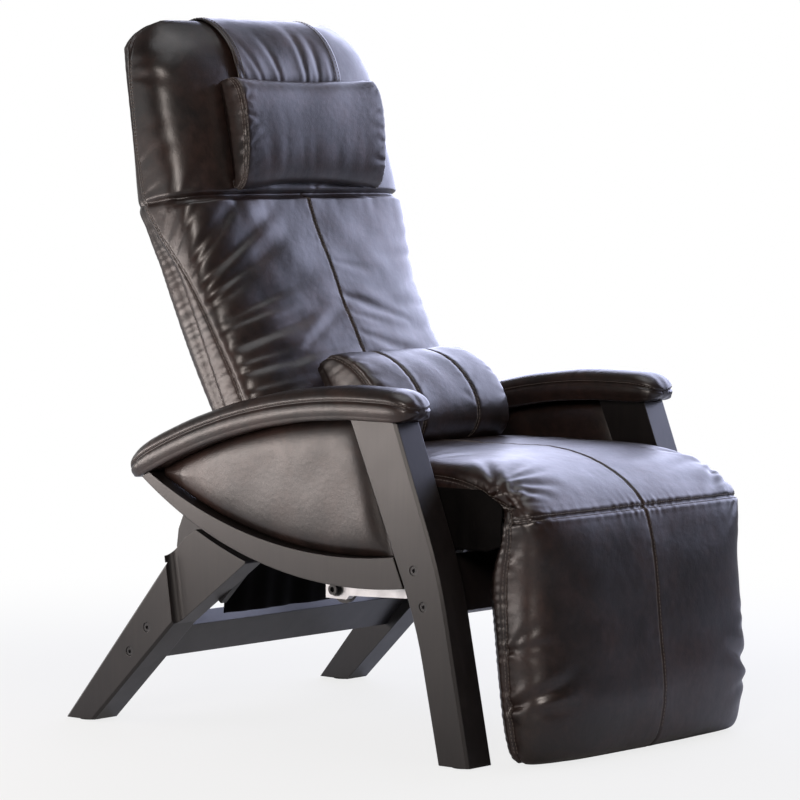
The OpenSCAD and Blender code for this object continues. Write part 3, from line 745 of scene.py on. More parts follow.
class ReclinerLook(PropertyGroup):
    """Sizes and colours of the upholstery and finishes."""

    leather: FloatVectorProperty(
        name="Leather", description="Darkest leather", subtype="COLOR", default=(0.0118, 0.0073, 0.0062)
    )
    # Light thread colour: the thread's own tone, raised as a painted sheen on the stitches
    thread: FloatVectorProperty(
        name="Thread", description="Stitching colour", subtype="COLOR", default=(0.19, 0.165, 0.15)
    )
    wood: FloatVectorProperty(
        name="Wood", description="Lacquered wood colour", subtype="COLOR", default=(0.0079, 0.0059, 0.0056)
    )
    gloss: FloatProperty(
        name="Leather roughness", description="Mean roughness of the leather", default=0.37, min=0.1, max=0.9
    )
    fold: FloatProperty(
        name="Fold depth", description="Depth of the back's deepest wrinkles", unit="LENGTH", default=0.004
    )
    seam: FloatProperty(
        name="Seam depth", description="Depth of a sewn seam", unit="LENGTH", default=0.0026
    )
    pitch: FloatProperty(
        name="Stitch pitch", description="Distance between stitches", unit="LENGTH", default=0.0062
    )
    seed: IntProperty(name="Wrinkle seed", description="Start of the wrinkles' random places", default=7)


def depths(look):
    """Depth of folds, depth of seams and pitch of stitches, in millimetres."""
    return look.fold * 1000, look.seam * 1000, look.pitch * 1000


# Operators


class RECLINER_OT_frame(Operator):
    """Wood, steel, plywood and plastic finishes on the frame's own parts."""

    bl_idname = "recliner.frame"
    bl_label = "Frame finishes"

    def execute(self, context):
        looks = {
            "wood": wood(),
            "plywood": plywood(),
            "black_plastic": plastic(),
            "leather": leather(),
            "bright_steel": steel("bright_steel", (0.5, 0.5, 0.51), (0.66, 0.66, 0.67), 1.0, 0.3),
            "black_steel": steel("black_steel", (0.012, 0.012, 0.013), (0.024, 0.024, 0.026), 0.0, 0.42),
        }
        of_node = {n["node"]: n["material_slot"] for n in frame["record"]["subparts"]}
        for name, node in frame["nodes"].items():
            paint(node, looks[of_node[name]])
        return {"FINISHED"}


class RECLINER_OT_back(Operator):
    """Leather cover of the back and its head section."""

    bl_idname = "recliner.back"
    bl_label = "Back cover"

    def execute(self, context):
        look = context.scene.recliner_look
        deep, dip, pitch = depths(look)
        rng = np.random.default_rng(look.seed)
        b = BACK_HALF
        lower = [
            (56, 40, 66, -24, b - 14, 0.36, 0.62, 2.6),
            (60, 62, 74, -40, b - 2, 0.38, 0.68, 2.5),
            (78, 84, 84, -46, b + 5, 0.40, 0.71, 2.4),
            (110, 97, 112, -46, b + 10, 0.42, 0.72, 2.4),
            (160, 102, 162, -49, b + 11, 0.42, 0.71, 2.4),
            (230, 99, 232, -54, b + 11, 0.40, 0.67, 2.3),
            (320, 96, 322, -58, b + 13, 0.41, 0.62, 2.3),
            (400, 100, 402, -55, b + 17, 0.47, 0.62, 2.6),
            (448, 100, 452, -50, b + 24, 0.53, 0.65, 3.3),
            (486, 101, 492, -46, b + 28, 0.60, 0.73, 4.6),
            (507, 103, 520, -45, b + 30, 0.63, 0.76, 5.0),
            (518, 104, 532, -44, b + 31, 0.64, 0.77, 5.2),
        ]
        upper = [
            (-2, 104, -13, -43, b + 32, 0.65, 0.78, 5.2),
            (11, 104, 3, -43, b + 33, 0.67, 0.79, 5.0),
            (44, 103, 38, -43, b + 33, 0.70, 0.82, 4.5),
            (90, 100, 88, -43, b + 32, 0.72, 0.83, 4.0),
            (140, 96, 140, -43, b + 30, 0.73, 0.84, 3.7),
            (200, 88, 200, -43, b + 28, 0.74, 0.85, 3.4),
            (246, 77, 240, -43, b + 23, 0.74, 0.85, 3.1),
            (274, 62, 266, -41, b + 9, 0.74, 0.85, 3.0),
            (293, 43, 286, -33, b - 9, 0.76, 0.86, 2.8),
            (303, 24, 298, -20, b - 28, 0.70, 0.82, 2.7),
            (HEAD_LEN + 1, 8, HEAD_LEN + 0.5, -3, b - 48, 0.60, 0.75, 2.6),
        ]
        table = [(*back_at(i, j), *back_at(k, m), *rest) for i, j, k, m, *rest in lower]
        table += [(*head_at(i, j), *head_at(k, m), *rest) for i, j, k, m, *rest in upper]
        pad = Pad(table, 301, (150, 12, 60), rear_half=b + 11, rear_p=5)
        way, front = pad.way, pad.front
        # The deep fold lies between the two tables
        climb = slice(len(way) * 3 // 4)
        fold_z = (back_at(*lower[-1][:2])[1] + head_at(*upper[0][:2])[1]) / 2
        fold_at = float(np.interp(fold_z, pad.rows[climb, pad.middle, 2], way[climb])) + 8

        centre = column_gap(pad.rows, pad.middle)
        over = np.abs(way - fold_at)[:, None]
        pad.plump(0.45, 9, 3, 0.8, 0.03, bell(over, 8) * front)
        rim = pad.unroll()
        # Wrinkles that fan in from the side seams of the lower back: share of the way up
        # to the fold, angle, reach, width and depth
        fans = {
            -1: (
                (0.93, 0.95, 95, 8, 0.35), (0.885, 0.8, 150, 11, 0.7), (0.855, 0.78, 120, 7, 0.4),
                (0.80, 0.68, 215, 14, 0.95), (0.765, 0.6, 150, 8, 0.5), (0.715, 0.5, 240, 13, 0.9),
                (0.66, 0.42, 270, 15, 1.0), (0.635, 0.36, 170, 8, 0.45), (0.575, 0.28, 260, 14, 0.9),
                (0.535, 0.2, 200, 9, 0.5), (0.48, 0.16, 300, 15, 0.95), (0.43, 0.08, 230, 10, 0.6),
                (0.385, 0.06, 300, 14, 0.9), (0.335, 0.0, 240, 10, 0.55), (0.285, 0.04, 290, 14, 0.8),
                (0.235, 0.1, 220, 11, 0.5), (0.185, 0.12, 200, 13, 0.45),
            ),
            1: (
                (0.93, 0.5, 110, 10, 0.4), (0.86, 0.34, 150, 13, 0.5), (0.77, 0.2, 190, 14, 0.6),
                (0.68, 0.3, 170, 12, 0.5), (0.59, 0.1, 230, 15, 0.65), (0.50, 0.22, 200, 13, 0.5),
                (0.41, 0.05, 240, 14, 0.6), (0.32, 0.15, 190, 12, 0.45), (0.22, 0.1, 170, 12, 0.35),
            ),
        }
        for edge, folds in fans.items():
            for share, tilt, reach, width, depth in folds:
                s0 = 8 + share * fold_at + rng.uniform(-6, 6)
                place = edge * (float(np.interp(s0, way, rim)) - rng.uniform(16, 34))
                pad.fold(
                    (place, s0), tilt if edge < 0 else math.pi + tilt, reach * rng.uniform(0.9, 1.2),
                    width * rng.uniform(0.85, 1.2), deep * depth, edge * rng.uniform(-0.16, 0.08),
                )
        # Folds that the middle seam holds, on the side away from the fans
        for share, tilt, reach, width, depth in (
            (0.74, -0.2, 120, 10, 0.3), (0.62, -0.3, 170, 13, 0.5), (0.55, -0.22, 130, 9, 0.35),
            (0.48, -0.34, 190, 13, 0.55), (0.41, -0.28, 170, 11, 0.45), (0.35, -0.3, 190, 13, 0.5),
            (0.29, -0.2, 150, 11, 0.4),
        ):
            start = (rng.uniform(6, 20), share * fold_at)
            pad.fold(start, tilt, reach, width, deep * depth, rng.uniform(-0.1, 0.12))
        # Gathers that hang from the fold under the head section
        for x0 in (-236, -190, -148, -96, 70, 128, 182, 230):
            pad.fold(
                (x0 + rng.uniform(-14, 14), fold_at - 4),
                -math.pi / 2 - 0.35 * x0 / 250 + rng.uniform(-0.3, 0.3),
                rng.uniform(35, 80), rng.uniform(8, 12), deep * rng.uniform(0.12, 0.3),
            )
        # Long drapes above the lumbar pillow
        for x0, s0, angle, reach in (
            (-200, 185, 0.42, 260), (-180, 140, 0.28, 230), (-120, 232, 0.5, 200), (-90, 170, 0.2, 200),
            (190, 205, math.pi - 0.1, 190), (150, 270, math.pi - 0.25, 170),
        ):
            pad.fold((x0, s0), angle, reach, rng.uniform(12, 17), deep * rng.uniform(0.4, 0.7))
        # Head section: a few soft folds at its near and far edge and under the pillow
        for edge, up, tilt, reach, width, depth in (
            (-1, 205, -0.15, 95, 13, 0.55), (-1, 226, 0.25, 70, 12, 0.35), (-1, 120, 0.1, 80, 15, 0.3),
            (-1, 62, 0.45, 110, 13, 0.4), (-1, 14, 0.3, 60, 8, 0.4), (1, 190, 0.1, 70, 12, 0.3),
            (1, 70, -0.2, 90, 14, 0.35),
        ):
            s0 = fold_at + up
            place = edge * (float(np.interp(s0, way, rim)) - 8)
            pad.fold((place, s0), tilt if edge < 0 else math.pi - tilt, reach, width, deep * depth)
        for x0 in (-170, -95, 30, 140):
            pad.fold(
                (x0, fold_at + 4), math.pi / 2 + rng.uniform(-0.4, 0.4), rng.uniform(28, 55),
                rng.uniform(7, 10), deep * rng.uniform(0.12, 0.28),
            )
        s = pad.s
        pad.lift += ripple(pad.x, s, rng, 9, 105, 0.8)
        fade = np.clip((way - 6) / 20, 0, 1) * np.clip((way[-1] - way) / 30, 0.15, 1)
        pad.lift *= np.where(front, 1.0, 0.2) * fade[:, None]
        # Gussets gathered between their two seams
        band = ~front & (np.abs(pad.rows[:, :, 0]) > b * 0.985)
        ruffle = 0.22 * np.sin(s / 2.2 + 2.3 * np.sin(s / 23.0) + 1.4 * np.sin(s / 7.1))
        pad.lift += np.where(band, ruffle, 0) * (s < fold_at)

        pad.lift += seam_dip(centre, s, dip * 0.9, 2.5, 0.35, 23, rng) * (s < fold_at + 2)
        pad.sew(pad.corners, dip, 3.0, 0.3, 19, rng)
        mouth = np.where(front, 2.0 + 7.5 * np.clip(pad.side / 34, 0, 1) ** 0.7, 2.0)
        pad.lift -= mouth * bell(over, 3.8)
        pad.settle()
        pad.rows[[0, -1]] = smoothed(pad.rows, 2)[[0, -1]]

        piece = pad.cover(
            "back_cover", 0.8,
            "back_cushion", "head_cushion", "back_side_right", "back_side_left", "back_panel", "head_panel",
        )
        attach(piece, "back")
        above = len(way) - int(np.searchsorted(way, fold_at))
        lines = pad.sewn(pad.middle, (-3.6, 3.6), 10, above + 3)
        for column in pad.corners[:2]:
            lines += pad.sewn(column, (-3.4, 3.4), 12, 34)
        for column in pad.corners[2:]:
            lines += pad.sewn(column, (0.0,), 20, above + 6)
        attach(stitching("back_stitching", lines, pitch), "back")
        return {"FINISHED"}


class RECLINER_OT_seat(Operator):
    """One leather cover over the seat and the leg rest, bending at the knee."""

    bl_idname = "recliner.seat"
    bl_label = "Seat and leg rest cover"

    def execute(self, context):
        look = context.scene.recliner_look
        deep, dip, pitch = depths(look)
        rng = np.random.default_rng(look.seed + 1)
        w, v = SEAT_HALF - 2, LEG_HALF
        table = [
            (64, 425, 62, 356, w - 22, 0.40, 0.60, 3.4),
            (60, 452, 60, 352, w - 12, 0.34, 0.58, 3.4),
            (36, 462, 36, 352, w - 3, 0.31, 0.57, 3.4),
            (-60, 464, -60, 352, w, 0.30, 0.56, 3.4),
            (-150, 464, -150, 352, w, 0.30, 0.56, 3.5),
            (-213, 464, -213, 352, w, 0.30, 0.56, 3.6),
            (-262, 463, -250, 354, w + 1, 0.32, 0.57, 3.8),
            (-300, 458, -285, 362, w + 3, 0.38, 0.62, 4.1),
            (-345, 445, -318, 378, w + 7, 0.52, 0.76, 4.6),
            (-380, 428, -338, 386, w + 11, 0.66, 0.92, 5.2),
            (-410, 407, -356, 384, w + 14, 0.72, 0.95, 5.6),
            (-429, 387, -366, 374, w + 16, 0.74, 0.95, 5.6),
            (-440, 362, -366, 352, w + 16, 0.74, 0.95, 5.2),
            (-448, 330, -352, 322, w + 16, 0.73, 0.95, 4.6),
            (-455, 290, *leg_at(-27, 78), v - 1, 0.73, 0.95, 4.1),
            (-461, 230, *leg_at(-29, 130), v + 1, 0.75, 0.95, 3.8),
            (-467, 171, *leg_at(-32, 185), v + 3, 0.78, 0.95, 3.6),
            (-472, 128, *leg_at(-35, 228), v + 3, 0.80, 0.95, 3.5),
            (-474, 88, *leg_at(-38, 268), v + 3, 0.81, 0.95, 3.4),
            (-470, 50, *leg_at(-40, 304), v + 1, 0.80, 0.94, 3.3),
            (-460, 20, *leg_at(-40, 334), v - 3, 0.78, 0.93, 3.3),
            (-441, 4, *leg_at(-38, 349), v - 10, 0.72, 0.91, 3.3),
            (-418, 2, *leg_at(-32, 352), v - 24, 0.62, 0.86, 3.2),
        ]
        pad = Pad(table, 281, (150, 12, 56))
        way, front = pad.way, pad.front
        mid = pad.rows[:, pad.middle]
        knee_at = float(way[np.argmin(np.hypot(*(mid[:, 1:] - KNEE_SEAM).T))])

        centre = column_gap(pad.rows, pad.middle)
        over = np.abs(way - knee_at)[:, None]
        pad.plump(0.45, 9, 3, 0.8, 0.025, bell(over, 9) * front)
        rim = pad.unroll()
        # Folds that spread from points of the side seams, at both sides: the gathered corner of
        # the knee, the pinches lower down the leg rest, and the seat's own edge
        fans = (
            (knee_at - 34, (-1.15, -0.75, -0.35, 0.05, 0.45, 0.85, 1.2), 95, 8, 1.25),
            (knee_at - 92, (-0.7, -0.35, 0.0, 0.35, 0.7), 150, 10, 1.0),
            (knee_at + 60, (-0.8, -0.3, 0.3), 60, 9, 0.35),
            (knee_at + 205, (-0.75, -0.35, 0.15), 95, 10, 0.8),
            (knee_at + 290, (-0.55, -0.28, 0.1), 150, 12, 1.2),
            (150, (-0.3, 0.25), 130, 14, 0.35),
            (265, (-0.3, 0.1, 0.5), 150, 14, 0.4),
        )
        for edge in (-1, 1):
            for s0, tilts, reach, width, depth in fans:
                place = edge * (float(np.interp(s0, way, rim)) - 6)
                for tilt in tilts:
                    tilt += rng.uniform(-0.09, 0.09)
                    pad.fold(
                        (place, s0), tilt if edge < 0 else math.pi - tilt,
                        reach * rng.uniform(0.7, 1.25), width * rng.uniform(0.8, 1.2),
                        deep * depth * rng.uniform(0.7, 1.1), rng.uniform(-0.2, 0.2),
                    )
        x, s = pad.x, pad.s
        pad.lift += ripple(x, s, rng, 9, 130, 0.7)
        # Slack at the bottom of the leg rest
        pad.lift += 1.2 * np.sin(s / 24 + 0.9 * np.sin(x / 60)) * bell(s - way[-1] + 70, 45)
        pad.lift *= np.where(front, 1.0, 0.3) * np.clip((way[-1] - way[:, None]) / 30, 0.1, 1)
        # Gussets gathered between their two seams
        band = ~front & (np.abs(pad.rows[:, :, 0]) > w * 0.94)
        pad.lift += np.where(band, 0.4 * np.sin(s / 2.1 + 1.2 * np.sin(s / 29.0)), 0)
        pad.lift += seam_dip(centre, s, dip * 0.95, 2.6, 0.35, 23, rng)
        # The knee's seam, between two welts
        pad.lift += np.where(front, seam_dip(over, x, dip * 1.5, 3.2, 0.7, 15, rng), 0)
        pad.lift += np.where(front, 0.9 * bell(over - 8, 3.4), 0)
        pad.sew(pad.corners, dip, 3.0, 0.45, 17, rng)
        pad.settle()
        # The sides are drawn in behind the knee and stand out at the leg rest's upper corners
        drawn = 12 * bell(s - knee_at + 38, 24) - 5 * bell(s - knee_at - 16, 18)
        rows = pad.rows
        rows[:, :, 0] -= np.sign(rows[:, :, 0]) * drawn * bell(pad.side, 32)
        rows[:, :, 2] = np.maximum(rows[:, :, 2], FLOOR_GAP)

        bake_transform(pad.cover("seat_cover", 0.8, "seat_cushion", "leg_cushion"))
        lines = pad.sewn(pad.middle, (-3.8, 3.8), 10, 18)
        lines += [cross_line(rows, pad.normals, way, knee_at + d, 6, pad.end - 6) for d in (-3.8, 3.8)]
        for column in pad.corners[:2]:
            lines += pad.sewn(column, (-3.4, 3.4), 8, 12)
        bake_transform(stitching("seat_stitching", lines, pitch))
        return {"FINISHED"}


class RECLINER_OT_pillows(Operator):
    """Head pillow with its flap over the back, and the lumbar pillow."""

    bl_idname = "recliner.pillows"
    bl_label = "Pillows and flap"

    def head_pillow(self, look):
        deep, dip, pitch = depths(look)
        rng = np.random.default_rng(look.seed + 2)
        w = span("head_pillow")[1][0]
        body = [
            (44, 95, 47, 92, w - 12, 0.3, 0.8, 7),
            (30, 100, 40, 91.5, w - 5, 0.18, 0.85, 8),
            (22, 110, 35, 91, w - 1, 0.13, 0.88, 8),
            (23, 126, 38, 91, w, 0.12, 0.88, 8),
            (38, 140, 52, 91, w, 0.12, 0.88, 8),
            (74, 150, 80, 91, w, 0.12, 0.88, 8),
            (118, 154, 120, 91, w, 0.12, 0.88, 8),
            (158, 153, 156, 91, w, 0.12, 0.88, 8),
            (190, 146, 184, 91, w, 0.12, 0.88, 8),
            (205, 132, 198, 91, w, 0.13, 0.88, 8),
            (208, 115, 203, 91, w - 1, 0.15, 0.86, 8),
            (203, 101, 200, 91.5, w - 5, 0.2, 0.84, 8),
            (192, 95, 192, 92, w - 12, 0.3, 0.8, 7),
        ]
        # Its rear lies on the head section's cover
        cover = [0, 14, 56, 90, 140, 200, 246], [102, 102, 101, 98, 94, 86, 75]
        table = []
        for i, j, k, m, *rest in body:
            on = float(np.interp(k - 9, *cover))
            face = head_at(i - 9, max(91 + 0.92 * (j - 91), on + 2))
            table.append((*face, *head_at(k - 9, on + m - 91), *rest))
        pad = Pad(table, 121, (120, 14, 44))
        x, s = pad.x, pad.s
        # Its ends are fuller than its middle: the lower edge arches and the upper one sags
        up = np.array([math.sin(HEAD_LEAN), math.cos(HEAD_LEAN)])
        t = (pad.rows[:, :, 1:] - BEND) @ up
        level, reach, arch, sag = 106, 92, 11, 6
        slack = np.clip((level - t) / reach, -1, 1) * np.where(t < level, arch, sag) * (1 - (x / w) ** 2)
        pad.rows[:, :, 1:] += slack[:, :, None] * up
        pad.plump(0.45, 8, 2, 0.8, 0.02)
        pad.lift += ripple(x, s, rng, 7, 95, 0.6)
        # Upright slack over the face and short gathers at the end seams
        for x0 in (-120, -84, -40, 2, 47, 88, 126):
            pad.fold(
                (x0 + rng.uniform(-9, 9), 55), math.pi / 2 + rng.uniform(-0.1, 0.1), rng.uniform(90, 150),
                rng.uniform(11, 18), rng.uniform(0.2, 0.6),
            )
        pad.gather(rng, 9, w - 3, 20, deep, (18, 50), (4.5, 7.5), (0.15, 0.4))
        fade = pad.fade(15)
        pad.lift *= np.where(pad.front, 1.0, 0.4) * fade
        # Gathers of the end panels
        band = ~pad.front & (np.abs(x) > w * 0.97)
        ruffle = 1.3 * np.sin(s / 5.2 + 1.6 * np.sin(s / 17.0))
        pad.lift += np.where(band, ruffle, 0) * bell(pad.side, 16) * fade
        pad.sew(pad.corners, dip, 2.8, 0.3, 15, rng)
        pad.settle()
        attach(pad.cover("head_pillow_cover", 0.85, "head_pillow"), "head_rest")
        lines = pad.sewn(0, (3.2, -3.2, -7.2), 6, 6) + pad.sewn(pad.end, (-3.2, 3.2, 7.2), 6, 6)
        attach(stitching("head_pillow_stitching", lines, pitch), "head_rest")

    def flap(self, look):
        rng = np.random.default_rng(look.seed + 3)
        path = [head_at(*place) for place in (
            (174, 91.5), (188, 92), (204, 95), (220, 91), (236, 86.5), (252, 79.5), (270, 68.5), (286, 54.5),
            (299, 37.5), (307, 19), (HEAD_LEN + 4.5, 2), (304, -17), (294, -31), (276, -43), (250, -47.5),
            (214, -47.5), (180, -47.5), (150, -47.5),
        )]
        columns = 97
        rows, way, mid = sheet_rows(path, FLAP_HALF, 131, columns)
        x = rows[:, :, 0]
        run = np.broadcast_to(way[:, None], x.shape)
        tangent = np.gradient(mid, axis=0)
        tangent /= np.linalg.norm(tangent, axis=1, keepdims=True)
        normals = np.zeros_like(rows)
        normals[:, :, 1] = -tangent[:, 1:2]
        normals[:, :, 2] = tangent[:, 0:1]
        # Out is forward on the face of the head section
        if np.sum(normals[24, :, 1]) > 0:
            normals = -normals
        lift = 1.6 + ripple(x, run, rng, 6, 70, 0.4)
        # Upright slack folds that rise from the pillow and die out over the top
        for x0, lean_by, reach, depth in (
            (-112, 0.45, 120, 1.4), (-70, 0.4, 105, 1.0), (-26, 0.15, 110, 1.3), (38, -0.02, 125, 1.7),
            (70, -0.08, 105, 1.4), (104, -0.1, 80, 1.2),
        ):
            angle = math.pi / 2 + lean_by
            lift += wrinkle(x, run, (x0, 20), angle, reach, rng.uniform(8, 11), depth, rng.uniform(-0.1, 0.1))
        lift -= 1.2 * bell(FLAP_HALF - np.abs(x), 5)
        rows = rows + normals * np.maximum(lift, 0.2)[:, :, None]
        piece = loft("head_flap_cover", rows, closed=False)
        faces = piece.data.polygons
        thickened(piece, FLAP_WALL, -1 if faces[len(faces) // 4].normal.y < 0 else 1)
        paint(piece, leather())
        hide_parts("head_flap")
        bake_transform(piece)
        lines = []
        for edge in (2, 5):
            lines += [rows[4:-4, k] + 0.3 * normals[4:-4, k] for k in (edge, columns - 1 - edge)]
        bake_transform(stitching("head_flap_stitching", lines, look.pitch * 1000))

    def lumbar(self, look):
        deep, dip, pitch = depths(look)
        rng = np.random.default_rng(look.seed + 4)
        w = span("lumbar_pillow")[1][0]
        body = [
            (80, 109.5, 78, 109.2, w - 14, 0.3, 0.75, 5),
            (56, 122, 66, 109, w - 6, 0.24, 0.78, 5),
            (40, 148, 58, 109, w - 1, 0.2, 0.82, 5.5),
            (38, 178, 62, 109, w + 2, 0.18, 0.84, 5.5),
            (52, 202, 80, 109, w + 2, 0.18, 0.85, 5.5),
            (82, 214, 102, 109, w + 1, 0.18, 0.85, 5.5),
            (120, 213, 130, 109, w, 0.18, 0.85, 5.5),
            (158, 201, 158, 109, w - 1, 0.18, 0.85, 5.5),
            (190, 180, 184, 109, w - 2, 0.18, 0.84, 5.5),
            (212, 154, 204, 109, w - 3, 0.2, 0.82, 5.5),
            (214, 130, 208, 109, w - 7, 0.24, 0.78, 5),
            (200, 112, 198, 109.2, w - 18, 0.3, 0.75, 5),
        ]
        table = [
            (*back_at(i, 114 + 1.1 * (j - 109)), *back_at(k, m + 6), *rest) for i, j, k, m, *rest in body
        ]
        pad = Pad(table, 131, (132, 16, 44))
        mid = pad.rows[len(pad.way) // 2, : pad.end + 1, 0]
        seams = [int(np.argmin(np.abs(mid - sign * LUMBAR_SEAM))) for sign in (-1, 1)]
        held = [0.9 * bell(column_gap(pad.rows, column), 8) for column in seams]
        pad.plump(0.4, 8, 2, 1.1, 0.03, *held)
        pad.lift += ripple(pad.x, pad.s, rng, 7, 95, 0.6)
        pad.gather(rng, 8, w - 4, 25, deep, (20, 65), (6, 10), (0.2, 0.5))
        # Slack under the two sewn channels
        for column in seams:
            for k in range(5):
                side_of = -1 if k % 2 else 1
                pad.fold(
                    (mid[column] + 4 * side_of, 60 + 32 * k), 0.5 * math.pi - side_of * rng.uniform(0.7, 1.3),
                    rng.uniform(25, 50), rng.uniform(6, 9), rng.uniform(0.4, 1.0),
                )
        pad.lift *= np.where(pad.front, 1.0, 0.4) * pad.fade(15)
        pad.sew((*pad.corners, *seams), dip * 1.2, 3.2, 0.35, 17, rng)
        pad.settle()
        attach(pad.cover("lumbar_cover", 0.85, "lumbar_pillow"), "lumbar")
        lines = []
        for column in seams:
            lines += pad.sewn(column, (-3.4, 3.4), 6, 6)
        for column in pad.corners[:2]:
            lines += pad.sewn(column, (3.3, -3.3), 6, 6)
        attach(stitching("lumbar_stitching", lines, pitch), "lumbar")

    def execute(self, context):
        look = context.scene.recliner_look
        self.head_pillow(look)
        self.flap(look)
        self.lumbar(look)
        return {"FINISHED"}


class RECLINER_OT_arms(Operator):
    """Leather arm pads, wrapped round their boards."""

    bl_idname = "recliner.arms"
    bl_label = "Arm pads"

    def execute(self, context):
        look = context.scene.recliner_look
        _, dip, pitch = depths(look)
        h = ARM_HALF
        # Rounded ends: degrees from the end, and how much narrower and thinner the pad is there
        ends = (
            (0, 30, 26, 17), (0.16, 19, 20, 12), (0.5, 10.5, 13, 7), (1.05, 4.5, 7, 3), (1.8, 1.2, 2.5, 0.8),
            (2.8, 0, 0.4, 0),
        )
        stops = [(ARM_FROM + deg, *rest) for deg, *rest in ends]
        stops += [(deg, 0, -0.5, 0) for deg in (2, 6, 10, 14, 18, 22)]
        stops += [(ARM_TO - 1.3 * deg, *rest) for deg, *rest in ends[::-1]]
        table = [
            (*arm_at(deg, ARM_CREST - drop), *arm_at(deg, ARM_UNDER + rise), h - slim, 0.42, 0.88, 2.6)
            for deg, slim, drop, rise in stops
        ]
        for side, sign in SIDES:
            rng = np.random.default_rng(look.seed + 5)
            pad = Pad(table, 201, (64, 14, 30), sign * ARM_X)
            x, s, length = pad.x, pad.s, pad.way[-1]
            pad.lift += ripple(x, s, rng, 6, 120, 0.3)
            for edge in (-1, 1):
                for _ in range(9):
                    pad.fold(
                        (edge * (h - 2), rng.uniform(10, length - 10)),
                        rng.uniform(-0.6, 0.6) + (0 if edge < 0 else math.pi),
                        rng.uniform(12, 28), rng.uniform(4, 6), rng.uniform(0.2, 0.5),
                    )
            # Gathers at the rounded ends
            pad.lift += 0.5 * bell(np.minimum(s, length - s), 26) * np.sin(x / 3.1)
            pad.lift *= pad.fade(12)
            pad.sew(pad.corners[:2], dip * 0.8, 2.4, 0.15, 15, rng)
            pad.settle()
            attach(pad.cover(f"arm_cover_{side}", 0.9, f"arm_pad_{side}"), "base")
            lines = pad.sewn(0, (3.0,), 3, 3) + pad.sewn(pad.end, (-3.0,), 3, 3)
            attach(stitching(f"arm_stitching_{side}", lines, pitch), "base")
        return {"FINISHED"}


class RECLINER_OT_panels(Operator):
    """Padded leather panels between the arms, side rails and front legs."""

    bl_idname = "recliner.panels"
    bl_label = "Side panels"

    def outline(self, rear, us, vs):
        """Places (y, z) over the panel, which arm, rail and front leg bound."""
        (y0, z0), (y1, z1) = LEG_EDGE
        z = np.full((len(us), len(vs)), 420.0)
        for _ in range(6):
            edge = y0 + (y1 - y0) * (z - z0) / (z1 - z0)
            y = edge + (rear - edge) * us[:, None]
            low = RAIL_CENTRE[1] - np.sqrt(RAIL_RADIUS**2 - (y - RAIL_CENTRE[0]) ** 2) + 1.0
            high = ARM_CENTRE[1] + np.sqrt(PANEL_TOP**2 - (y - ARM_CENTRE[0]) ** 2) - 0.5
            z = low + (np.maximum(high, low + 0.6) - low) * vs
        return y, z

    def execute(self, context):
        look = context.scene.recliner_look
        us, vs = np.linspace(0, 1, 141) ** 1.25, np.linspace(0, 1, 65)
        vs = vs - 0.6 * np.sin(2 * math.pi * vs) / (2 * math.pi)
        for side, sign in SIDES:
            rng = np.random.default_rng(look.seed + 6)
            lo, hi = span(f"side_panel_{side}")
            y, z = self.outline(hi[1] + 16, us, vs)
            tall = (z[:, -1] - z[:, 0])[:, None]
            from_leg = y - y[:1]
            edge = np.minimum(vs, 1 - vs) * tall
            swell = (1 - np.exp(-np.maximum(edge, 0) / 10.0)) * np.clip(tall / 60, 0, 1)
            # A piped roll beside the front leg, a valley, then the plump field
            field = 1 - np.exp(-((np.maximum(from_leg - 24, 0) / 20.0) ** 1.4))
            puff = (hi[0] - lo[0]) / 2 - 12 + swell * (15.5 * field + 12.5 * bell(from_leg - 12, 8.5))
            puff += ripple(y, z, rng, 6, 130, 0.4) * swell * field
            face = np.stack([puff, y, z], axis=2)
            rows = np.concatenate([face, face[:, ::-1] * (-1, 1, 1)], axis=1)
            rows[:, :, 0] += sign * PANEL_X
            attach(upholstered(loft(f"side_panel_cover_{side}", rows), 0.7, f"side_panel_{side}"), "base")
        return {"FINISHED"}


class RECLINER_OT_skirts(Operator):
    """Skirts of lining cloth under the sides of the seat, near-black both as cloth and as painted shade."""

    bl_idname = "recliner.skirts"
    bl_label = "Seat skirts"

    def execute(self, context):
        v = np.linspace(0, 1, 25)
        for side, sign in SIDES:
            lo, hi = span(f"seat_skirt_{side}")
            start, stop = lo[1] - 30, hi[1]
            y = np.linspace(start, stop, 141)[:, None]
            z0 = np.interp(y, [start, start + 30, stop - 40, stop], [lo[2] + 8, lo[2] - 2, lo[2], lo[2] + 6])
            z1 = np.interp(y, [start, start + 40, stop], [hi[2] - 22, hi[2], hi[2]])
            z = z0 + (z1 - z0) * v
            wave = (1.3 * np.sin(y / 8.0) + 1.0 * np.sin(y / 4.7 + 1)) * (1 - v) ** 0.8
            x = SKIRT_X + np.clip(0.5 * wave, -0.3, 0.8)
            # Room for the end of the knee shaft
            x += 5.5 * bell(y - KNEE[0], 24) * bell(z - KNEE[1], 22)
            thick = 0.7 + 0.2 * np.sin(math.pi * v)
            y = np.broadcast_to(y, x.shape)
            face = np.stack([sign * (x + thick), y, z], axis=2)
            back = np.stack([sign * (x - thick), y, z], axis=2)[:, ::-1]
            rows = np.concatenate([face, back], axis=1)
            piece = upholstered(loft(f"seat_skirt_cover_{side}", rows), 0.1, f"seat_skirt_{side}")
            # Near-black lining: the skirt's cloth colour, darkened further as painted shade under the seat
            paint(piece, lining_and_shade())
            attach(piece, "seat")
        return {"FINISHED"}


